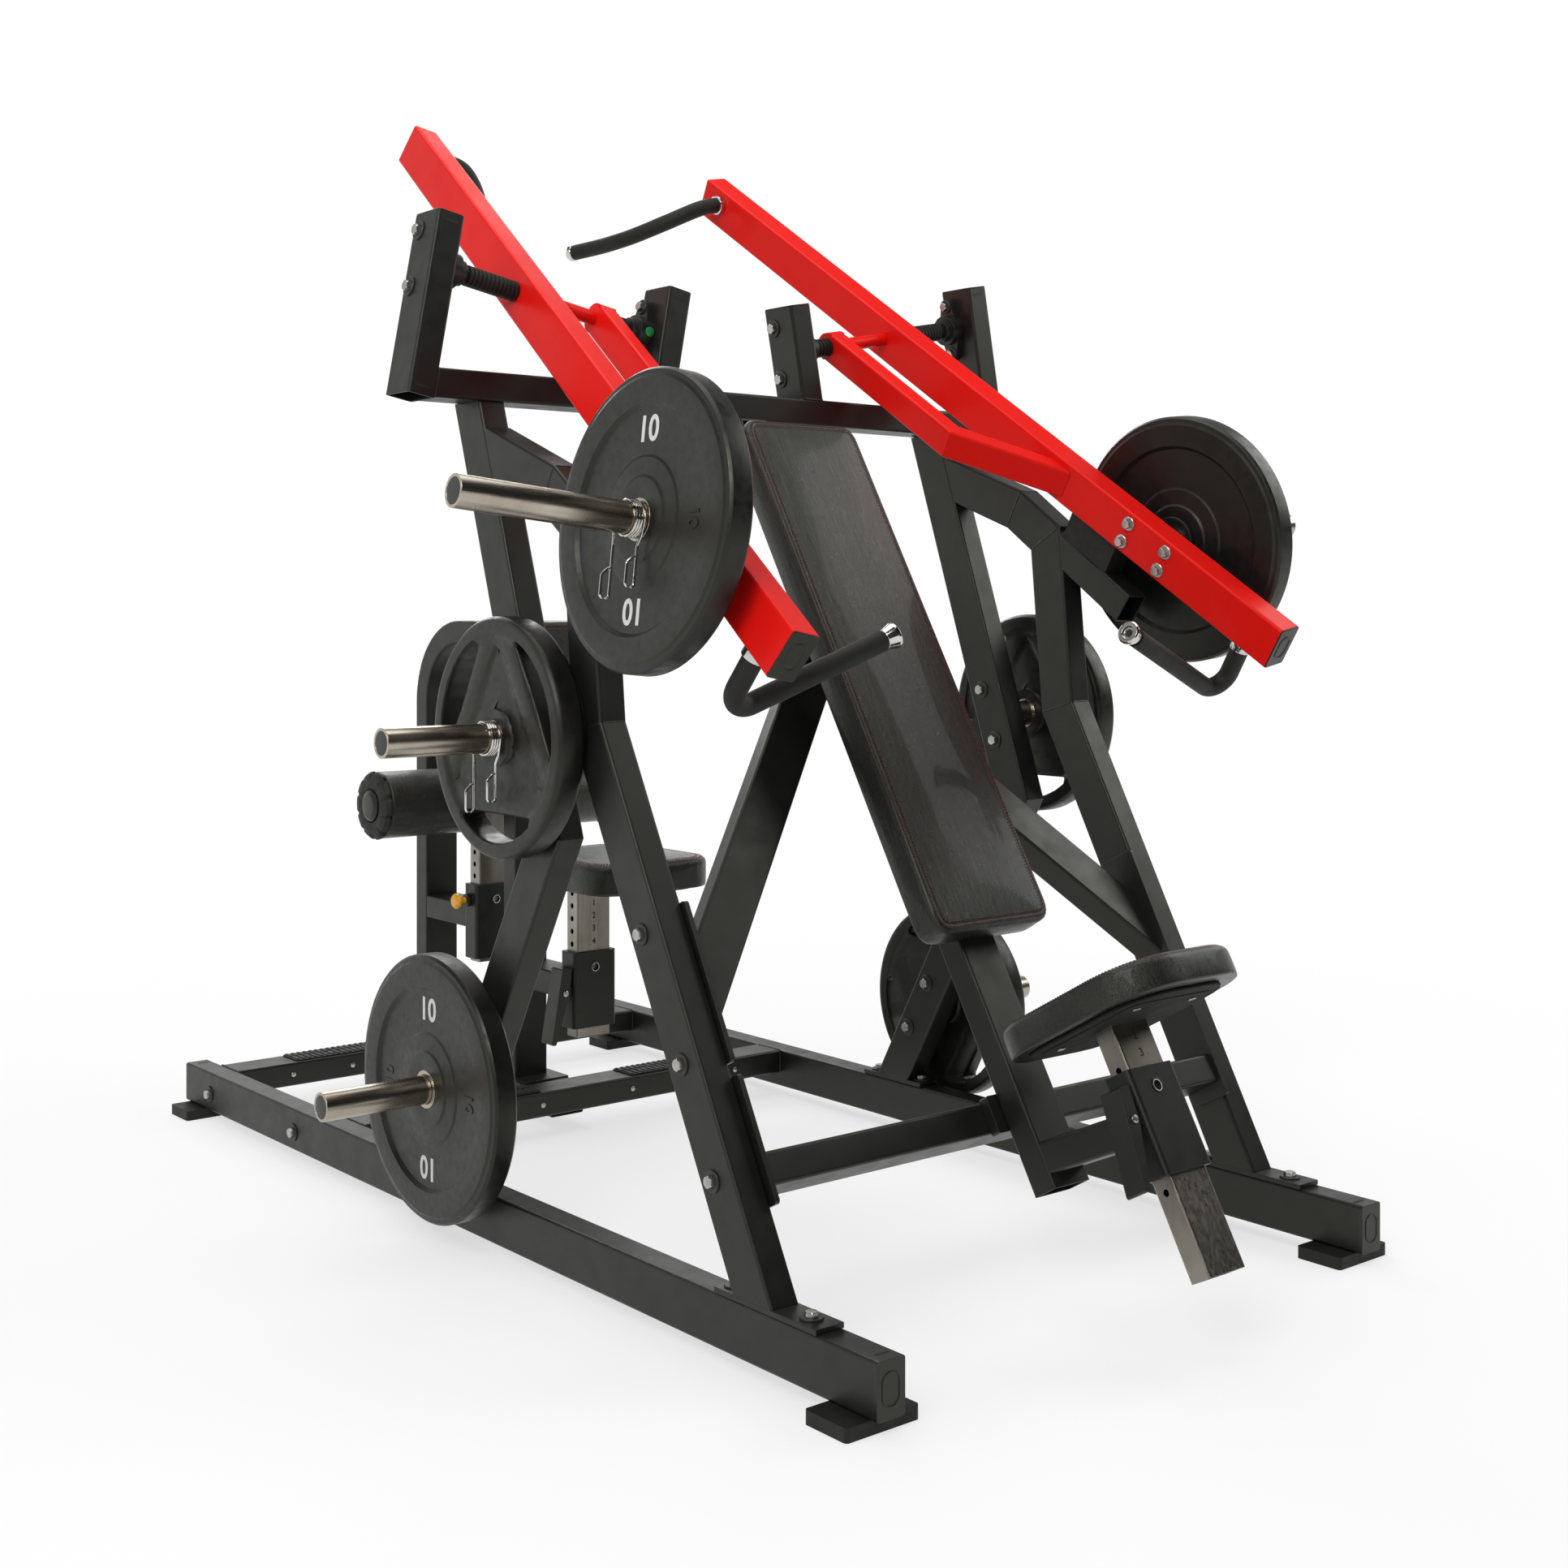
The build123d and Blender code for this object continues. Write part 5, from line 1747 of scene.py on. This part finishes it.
@dataclass
class PlateTree:
    """The storage sleeves on the rear legs with what hangs on them."""

    middle: tuple = (-251.0, 868.0)
    low: tuple = (-47.0, 267.0)
    end: float = 815.0
    flange: float = 7.5
    collar: float = 12.0
    spacer: float = 45.0
    rear: tuple = ((-311.0, 712.0), (-69.0, 1424.0), (32.0, 100.0))

    def foot(self, at: tuple, towards: tuple) -> Shell:
        """The welded foot plate of a sleeve, lined up with its leg.

        Args:
            at: its (y, z).
            towards: the (y, z) of its leg's far end.

        Returns:
            The plate.
        """
        lean = unit(vec(0, towards[0] - self.rear[0][0], towards[1] - self.rear[0][1]))
        return slab(rectangle(130, 74, 8), self.flange, 1.0,
                    Axes(vec(-RAIL_OUT, *at), lean, -X))

    def build(self) -> None:
        """Makes both sides."""
        for side in Side:
            body, name = Body.FRAME, "storage_" + side.value
            feet = Shell.joined([self.foot(self.middle, self.rear[1]),
                                 self.foot(self.low, self.rear[2])])
            dress(side.of(feet), name + "_feet", Stock.POWDER, body,
                  ("storage_sleeves_" + side.value,))
            sleeve, long = Sleeve(), self.end - RAIL_OUT
            axes = [Axes(vec(-RAIL_OUT, *at), Z, -X) for at in (self.middle, self.low)]
            dress(side.of(Shell.joined([sleeve.tube(a, self.flange, long) for a in axes])),
                  name + "_sleeves", Stock.STEEL, body)
            dress(side.of(Shell.joined([sleeve.plug(a, long) for a in axes])),
                  name + "_plugs", Stock.PLASTIC, body)
            ring = band(24.2, 40, 0, self.collar)
            dress(side.of(soft_turned(ring, 1.5, Axes(axes[1].at(0, 0, self.flange), Z, -X),
                                      64, ring=True)), name + "_collar", Stock.POWDER, body)
            out = self.flange + (self.spacer if side is Side.RIGHT else 0.0)
            mid = Axes(axes[0].at(0, 0, out), Z, -X)
            GripPlate(turn=60).build(name + "_upper_plate", mid, "mid_plate_" + side.value, side)
            clip = Axes(axes[0].at(0, 0, out + 51), -Z, -X)
            dress(side.of(SpringClip().shell(clip)), name + "_clip", Stock.CHROME, body)
            low = Axes(axes[1].at(0, 0, self.flange + self.collar), Z, -X)
            if side is Side.LEFT:
                upright = Axes(low.origin, Y * -1, -X)
                BumperPlate().build(name + "_lower_plate", upright, body, "low_plate_left", side)
            else:
                GripPlate().build(name + "_lower_plate", low, "low_plate_right", side)


# ---- the two lever arms -----------------------------------------------------
@dataclass
class LeverArm:
    """One red arm: plate sleeve, press handle, pulldown handle, end plugs."""

    side: Side
    load_s: float = 746.0
    load_len: float = 387.0
    sink: float = 40.0
    handle: float = 16.5

    def piece(self, shell: Shell, name: str, stock: Stock, nodes: Sequence[str] = (),
              smooth: float = 35.0) -> bpy.types.Object:
        """A piece that moves with this arm."""
        return dress(self.side.of(shell), f"{name}_{self.side.value}", stock, self.side.arm,
                     tuple(f"{n}_{self.side.value}" for n in nodes), smooth)

    def end_plugs(self) -> None:
        """Black moulded plugs with an oval rim in both ends of the arm."""
        plug = slab(rectangle(TUBE_D - 1.2, TUBE_W - 1.2, 4), 4.0, 1.0, FLAT)
        ends = [Axes(ARM.at(s, 0, 25), ARM.z, ARM.x * way) for s, way in
                ((1060.2, 1), (-623.2, -1))]
        rim = oval_rim(26, 44, 12.5, 4.1, 1.2)
        self.piece(Shell.joined([plug.copied(ends), rim.copied(ends)]), "arm_plugs",
                   Stock.PLASTIC)

    def bolts(self) -> None:
        """The four bolts through the arm that hold the plate sleeve."""
        spots = [(self.load_s + ds, dt) for ds in (-46.5, 46.5) for dt in (-19.5, 19.5)]
        outer = [Axes(ARM.at(s, t, -8), ARM.x, -ARM.z) for s, t in spots]
        inner = [Axes(ARM.at(s, t, TUBE_D), ARM.x, ARM.z) for s, t in spots]
        nut, head = HexBolt(9, 9, 13), HexBolt(7, 6, 9)
        self.piece(Shell.joined([nut.heads(inner), head.heads(outer), nut.washers(inner)]),
                   "arm_bolts", Stock.ZINC, smooth=30)

    def load(self) -> None:
        """The plate sleeve, its stop, its foot, the clip and the plate."""
        six, two = math.radians(6), math.radians(2)
        along = vec(-math.cos(six) * math.cos(two), math.sin(two) * math.cos(six), math.sin(six))
        start = ARM.at(self.load_s, 0, 0)
        axes = Axes.facing(start, along, Z)
        down = Axes(axes.origin, -axes.x, axes.z)
        sleeve = Sleeve()
        self.piece(sleeve.tube(axes, 2, self.load_len), "load_tube", Stock.STEEL,
                   ("load_sleeve",))
        self.piece(sleeve.plug(axes, self.load_len), "load_tube_plug", Stock.PLASTIC)
        foot = slab(rectangle(128, 64, 8), 8.0, 1.0, Axes(start, ARM.x, -ARM.z))
        stop = soft_turned(band(24.2, 44, 30, 40), 1.5, axes, 64, ring=True)
        self.piece(Shell.joined([foot, stop]), "load_foot", Stock.POWDER)
        plate = Axes(down.at(0, 0, self.sink), np.cross(down.z, down.x), down.z)
        BumperPlate().build("arm_plate_" + self.side.value, plate, self.side.arm,
                            "load_plate_" + self.side.value, self.side)
        clip = Axes(down.at(0, 0, self.sink + 50), down.x, down.z)
        self.piece(SpringClip().shell(clip), "arm_clip", Stock.CHROME)

    def collar(self, root: Array, out: Array, high: float) -> Shell:
        """The chrome collar at a handle's root."""
        profile = [(0, 0.2), (20, 0.2), (20, high - 1), (17, high), (0, high)]
        return soft_turned(profile, 1.2, Axes.facing(root, out), 48)

    def press_handle(self) -> None:
        """Foam over a bent bar, a chrome root collar and a flared chrome end."""
        root = ARM.at(993, TUBE_W / 2, 25)
        bend, end = vec(-557, -775, 920), vec(-285, -817, 1028)
        path = rounded_path([root + ARM.y * 3, bend, end], 45.0, 14)
        up = unit(np.cross(bend - root, end - bend))
        self.piece(swept(path, circle(self.handle, 28), up), "press_grip", Stock.GRIP,
                   ("press_handle",))
        collar = self.collar(root, ARM.y, 15)
        cone = Axes.facing(end, end - bend)
        flare = soft_turned([(0, 0), (12, 0), (15, 3), (20, 19), (20, 23), (17.5, 25), (11, 25),
                             (10, 20), (0, 20)], 0.8, cone, 64)
        self.piece(Shell.joined([collar, flare]), "press_chrome", Stock.CHROME)
        # A thin dark hexagon at the bottom of the end's hollow: painted shade of the key socket,
        # which is not cut.
        key = slab(circle(7.0, 6), 1.2, 0.3, Axes(cone.at(0, 0, 19.6), cone.x, cone.z))
        self.piece(key, "press_socket_painted_shade", Stock.SOCKET)

    def lat_handle(self) -> None:
        """The swept pulldown handle with its chrome collar and tip."""
        root = ARM.at(-567, -9, TUBE_D)
        tip_dir = unit(vec(0.32, 0.94, -0.08))
        end = vec(-140, 656, 1857)
        points = [root + ARM.z * 3, vec(-290, 400, 1933), vec(-234, 446, 1903),
                  vec(-192, 510, 1878), vec(-166, 580, 1865), end]
        self.piece(swept(flowing_path(points, 10), circle(self.handle, 28), Z), "lat_grip",
                   Stock.GRIP, ("lat_handle",))
        collar = self.collar(root, ARM.z, 13)
        tip = soft_turned([(0, 0), (17.2, 0), (18, 1.2), (18, 10), (14, 16), (0, 16)], 0.8,
                          Axes.facing(end, tip_dir), 48)
        self.piece(Shell.joined([collar, tip]), "lat_chrome", Stock.CHROME)

    def build(self) -> None:
        """Makes the arm's pieces."""
        self.end_plugs()
        self.bolts()
        self.load()
        self.press_handle()
        self.lat_handle()


# ---- seats, rollers and knob ------------------------------------------------
@dataclass
class ThighRollers:
    """Two foam rollers with notched rubber end caps and domed centre buttons.

    Attributes:
        radius: the foam's radius.
        cap: the end cap's radius.
        hub: distance of the foam's inner end from the middle plane.
        foam: the foam's length.
        notches: thumb notches round each cap's shoulder.
    """

    radius: float = 70.5
    cap: float = 72.0
    hub: float = 46.0
    foam: float = 230.0
    notches: int = 10

    def cap_shell(self, axes: Axes) -> Shell:
        """The end cap: its shoulder dips smoothly at each notch.

        Args:
            axes: the roller's place.

        Returns:
            The cap.
        """
        f = self.foam
        rim = rounded_path([(12.2, f), (70.5, f), (self.cap, f + 2), (self.cap, f + 6),
                            (66, f + 13.5), (52, f + 16), (36.5, f + 16), (34.5, f + 12.4),
                            (12.2, f + 12.4)], 1.6, 4, closed=True)
        a = np.arange(320) * math.tau / 320
        dip = np.clip((np.cos(a * self.notches) - 0.45) / 0.55, 0, 1) ** 2
        reach = np.clip((rim[:, :1] - 50) / (self.cap - 50), 0, 1)
        r = rim[:, :1] - 5.5 * dip * reach
        h = rim[:, 1:] - 1.4 * dip * reach * (rim[:, 1:] > f + 5)
        local = np.stack((r * np.cos(a), r * np.sin(a), h), axis=-1)
        return Shell.grid(axes.put(local), wrap_rows=True, wrap_cols=True)

    def build(self) -> None:
        """Makes both rollers."""
        axes = Axes(vec(-self.hub, ROLLER_Y, ROLLER_Z), Z, -X)
        for side, body in ((Side.LEFT, Body.LEFT_ROLLER), (Side.RIGHT, Body.RIGHT_ROLLER)):
            name = "roller_" + side.value
            skin = soft_turned(band(12.1, self.radius, 0, self.foam), 5.0, axes, 96, ring=True,
                               steps=6)
            dress(side.of(skin), name + "_foam", Stock.VINYL, body, (name,), 60)
            dress(side.of(self.cap_shell(axes)), name + "_cap", Stock.RUBBER, body, smooth=40)
        ends = Axes(vec(-self.hub - self.foam, ROLLER_Y, ROLLER_Z), Z, -X)
        button = soft_turned([(0, 12.6), (33, 12.6), (33, 18), (24, 22.6), (0, 24.4)], 2.4,
                             ends, 64, steps=5)
        dress(button.with_twin(), "roller_end_buttons", Stock.PLASTIC, Body.CARRIAGE, smooth=50)


@dataclass
class Adjusters:
    """Seat figures, window rings, the yellow pull knob and the levers' screws."""

    pitch: float = 26.0

    def seat_figures(self) -> None:
        """Positions down the seats' tubes: 1 to 6 for the pulldown, 5 to 2 for the press."""
        lat = [figures(str(n + 1), 13, 0.1, Axes(vec(0, 373.4, 475 - self.pitch * n), X, -Y))
               for n in range(6)]
        dress(Shell.joined(lat), "pulldown_seat_figures", Stock.INK, Body.LAT_SEAT)
        at = [Axes(on_seat(0, -128 - self.pitch * n, 20.1), X, G_DIR) for n in range(4)]
        seat = [figures(str(5 - n), 13, 0.1, a) for n, a in enumerate(at)]
        dress(Shell.joined(seat), "press_seat_figures", Stock.INK, Body.PRESS_SEAT)

    def bezels(self) -> None:
        """Black rings round the reading windows in the guides, and white rings inside them: painted
        light on the windows' shaded inner walls.
        """
        places = [Axes.facing(on_seat(0, -128, 26), G_DIR), Axes.facing(vec(0, 367.5, 345), -Y),
                  Axes.facing(vec(0, 753, 440), -Y)]
        # The second row's white rings are painted light: they brighten the windows' shaded inner
        # walls, as the bright steel does.
        for name, stock, ring, ease in (
                ("window_bezels", Stock.PLASTIC, band(9.0, 12.0, -0.2, 1.0), 0.4),
                ("window_painted_light_rings", Stock.WHITE, band(7.8, 9.1, -0.4, 0.5), 0.3)):
            rings = [soft_turned(ring, ease, p, 40, ring=True) for p in places]
            dress(Shell.joined(rings), name, stock, Body.FRAME)

    def knob(self) -> None:
        """The mushroom knob on its stem, and the pin."""
        axes = Axes.facing(vec(-51, ROLLER_Y, 440), -X)
        pin = soft_turned(band(0, 6, -9, 14), 0.8, axes, 32)
        dress(pin, "pull_pin_steel", Stock.CHROME, Body.PIN, ("pull_pin",))
        cap = soft_turned([(0, 12.4), (7.5, 12.4), (7.5, 20), (11, 27), (16.5, 31), (16.5, 37),
                           (12, 41.5), (0, 42.6)], 2.0, axes, 48, steps=6)
        dress(cap, "pull_knob", Stock.YELLOW, Body.PIN, smooth=60)

    def lever_screws(self) -> None:
        """Bright screws on which the release levers turn."""
        pan = soft_turned([(0, -0.3), (6.6, -0.3), (6.6, 2.6), (4.6, 4.0), (0, 4.2)], 0.8,
                          FLAT, 24)
        spots = [Axes.facing(on_seat(LEVER_X, -89, 22), G_DIR),
                 Axes.facing(vec(LEVER_X, 371.5, 298), -Y)]
        dress(pan.copied(spots[:1]), "seat_lever_screw", Stock.ZINC, Body.SEAT_LEVER)
        dress(pan.copied(spots[1:]), "lat_lever_screw", Stock.ZINC, Body.LAT_LEVER)

    def build(self) -> None:
        """Makes the adjusters."""
        self.seat_figures()
        self.bezels()
        self.knob()
        self.lever_screws()


# ---- studio -----------------------------------------------------------------
@dataclass(frozen=True)
class Lamp:
    """A soft rectangular lamp aimed at the middle of the bench."""

    name: str
    at: tuple
    size: tuple
    power: float
    colour: tuple = (1.0, 1.0, 1.0)

    def hang(self, target: Array) -> None:
        """Puts the lamp in the scene, looking at the target.

        Args:
            target: what it looks at.
        """
        data = bpy.data.lights.new(self.name, "AREA")
        data.shape, data.energy, data.color = "RECTANGLE", self.power, self.colour
        data.size, data.size_y = self.size
        holder = linked(self.name, data)
        look = unit(target - vec(*self.at))
        side = unit(np.cross(look, Z))
        up = np.cross(side, look)
        frame = np.eye(4)
        frame[:3, 0], frame[:3, 1], frame[:3, 2], frame[:3, 3] = side, up, -look, self.at
        holder.matrix_world = Matrix(frame.tolist())


@dataclass
class Studio:
    """Camera, lamps, pale floor and white surround."""

    eye: tuple = (-2.294, -2.9694, 1.077)
    heading: float = -39.38
    lens: float = 45.96
    drop: float = -0.1123
    ambient: float = 0.3
    room: float = 0.03
    lamps: tuple = (
        Lamp("key", (-3.9, -2.6, 3.9), (2.6, 2.6), 150),
        Lamp("fill", (3.4, -1.5, 3.3), (2.6, 2.6), 80),
        Lamp("back", (1.2, 3.8, 3.4), (3.0, 2.0), 90),
        Lamp("top", (-0.4, 0.2, 4.6), (3.4, 3.4), 80),
    )

    def camera(self) -> None:
        """The display camera: level, turned to the bench, framed by its shift."""
        data = bpy.data.cameras.new("camera")
        data.lens, data.sensor_width, data.shift_y = self.lens, 36.0, self.drop
        data.clip_end = 60.0
        holder = linked("camera", data)
        holder.location = self.eye
        holder.rotation_euler = (math.pi / 2, 0, math.radians(self.heading))
        bpy.context.scene.camera = holder

    def white_to_eye(self, w: Nodes) -> bpy.types.NodeSocket:
        """A mask that is 1 for what the camera, a mirror or glass sees.

        Args:
            w: the nodes that it joins.

        Returns:
            The mask.
        """
        path = w.node("LightPath")
        last = path.outputs["Is Camera Ray"]
        for name in ("Is Glossy Ray", "Is Transmission Ray"):
            most = w.node("Math", operation="MAXIMUM")
            w.join(last, most.inputs[0])
            w.join(path.outputs[name], most.inputs[1])
            last = most.outputs[0]
        return last

    def surround(self) -> None:
        """White for the eye, a backdrop for metal and glass, and a gentle grey as light.

        What a reflection sees is the white backdrop behind the bench. It falls off
        to the room's darkness with the direction's height, and towards the front.
        """
        world = bpy.data.worlds.new("surround")
        bpy.context.scene.world = world
        world.use_nodes = True
        w = Nodes(world.node_tree)
        w.tree.nodes.clear()
        white = (1, 1, 1, 1)
        eye = w.node("Background", in_Color=white)
        light = w.node("Background", in_Color=white, in_Strength=self.ambient)
        split = w.node("SeparateXYZ")
        w.join(w.node("TexCoord").outputs["Generated"], split.inputs[0])
        both, most = w.node("Math", operation="MULTIPLY"), w.node("Math", operation="MAXIMUM")
        for i, (axis, start, stop, low, high) in enumerate(
                (("Z", 0.15, 0.8, 1.0, self.room), ("Y", -0.3, 0.5, self.room, 1.0))):
            fall = w.node("MapRange", interpolation_type="SMOOTHSTEP", in_From_Min=start,
                          in_From_Max=stop, in_To_Min=low, in_To_Max=high)
            w.join(split.outputs[axis], fall.inputs["Value"])
            w.join(fall.outputs["Result"], both.inputs[i])
        w.join(both.outputs[0], most.inputs[0])
        w.join(w.node("LightPath").outputs["Is Camera Ray"], most.inputs[1])
        w.join(most.outputs[0], eye.inputs["Strength"])
        mix = w.node("MixShader")
        w.join(self.white_to_eye(w), mix.inputs["Fac"])
        w.join(light.outputs[0], mix.inputs[1])
        w.join(eye.outputs[0], mix.inputs[2])
        w.join(mix.outputs[0], w.node("OutputWorld").inputs["Surface"])

    def floor(self) -> None:
        """A pale floor that keeps the bench's shadow and meets the surround in white."""
        grid = np.stack(np.meshgrid(np.linspace(-14, 14, 3), np.linspace(-14, 14, 3), [0.0],
                                    indexing="ij"), axis=-1)[:, :, 0]
        shell = Shell.grid(grid)
        mesh = bpy.data.meshes.new("floor")
        mesh.from_pydata(shell.points.tolist(), [], shell.faces.tolist())
        made = linked("floor", mesh)
        w = Wiring("pale_floor")
        w.shader.inputs["Base Color"].default_value = (0.82, 0.82, 0.82, 1)
        w.shader.inputs["Roughness"].default_value = 0.9
        w.shader.inputs["Specular IOR Level"].default_value = 0.1
        glow = w.node("Emission", in_Strength=1.0)
        mix = w.node("MixShader")
        far = w.node("VectorMath", operation="LENGTH")
        w.join(w.node("TexCoord").outputs["Object"], far.inputs[0])
        fade = w.ranged(far.outputs["Value"], 0.66, 1.0, 1.2, 2.9)
        eye = w.node("Math", operation="MULTIPLY")
        w.join(fade, eye.inputs[1])
        w.join(self.white_to_eye(w), eye.inputs[0])
        w.join(eye.outputs[0], mix.inputs["Fac"])
        w.join(w.shader.outputs[0], mix.inputs[1])
        w.join(glow.outputs[0], mix.inputs[2])
        w.join(mix.outputs[0], w.tree.nodes["Material Output"].inputs["Surface"])
        mesh.materials.append(w.material)

    def build(self) -> None:
        """Sets the scene."""
        bpy.context.scene.view_settings.view_transform = "Standard"
        self.camera()
        self.surround()
        self.floor()
        for lamp in self.lamps:
            lamp.hang(vec(0, 0, 0.9))


def corners(bounds: tuple) -> list[list[float]]:
    """The two corners of a box as plain lists."""
    return [list(map(float, c)) for c in bounds]


def main() -> None:
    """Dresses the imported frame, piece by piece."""
    logging.basicConfig(level=logging.INFO, format="%(name)s: %(message)s")
    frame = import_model()
    Studio().build()
    FrameWork().build(frame["nodes"])
    Upholstery().build()
    PlateTree().build()
    for side in Side:
        LeverArm(side).build()
    ThighRollers().build()
    Adjusters().build()


if __name__ == "__main__":
    main()
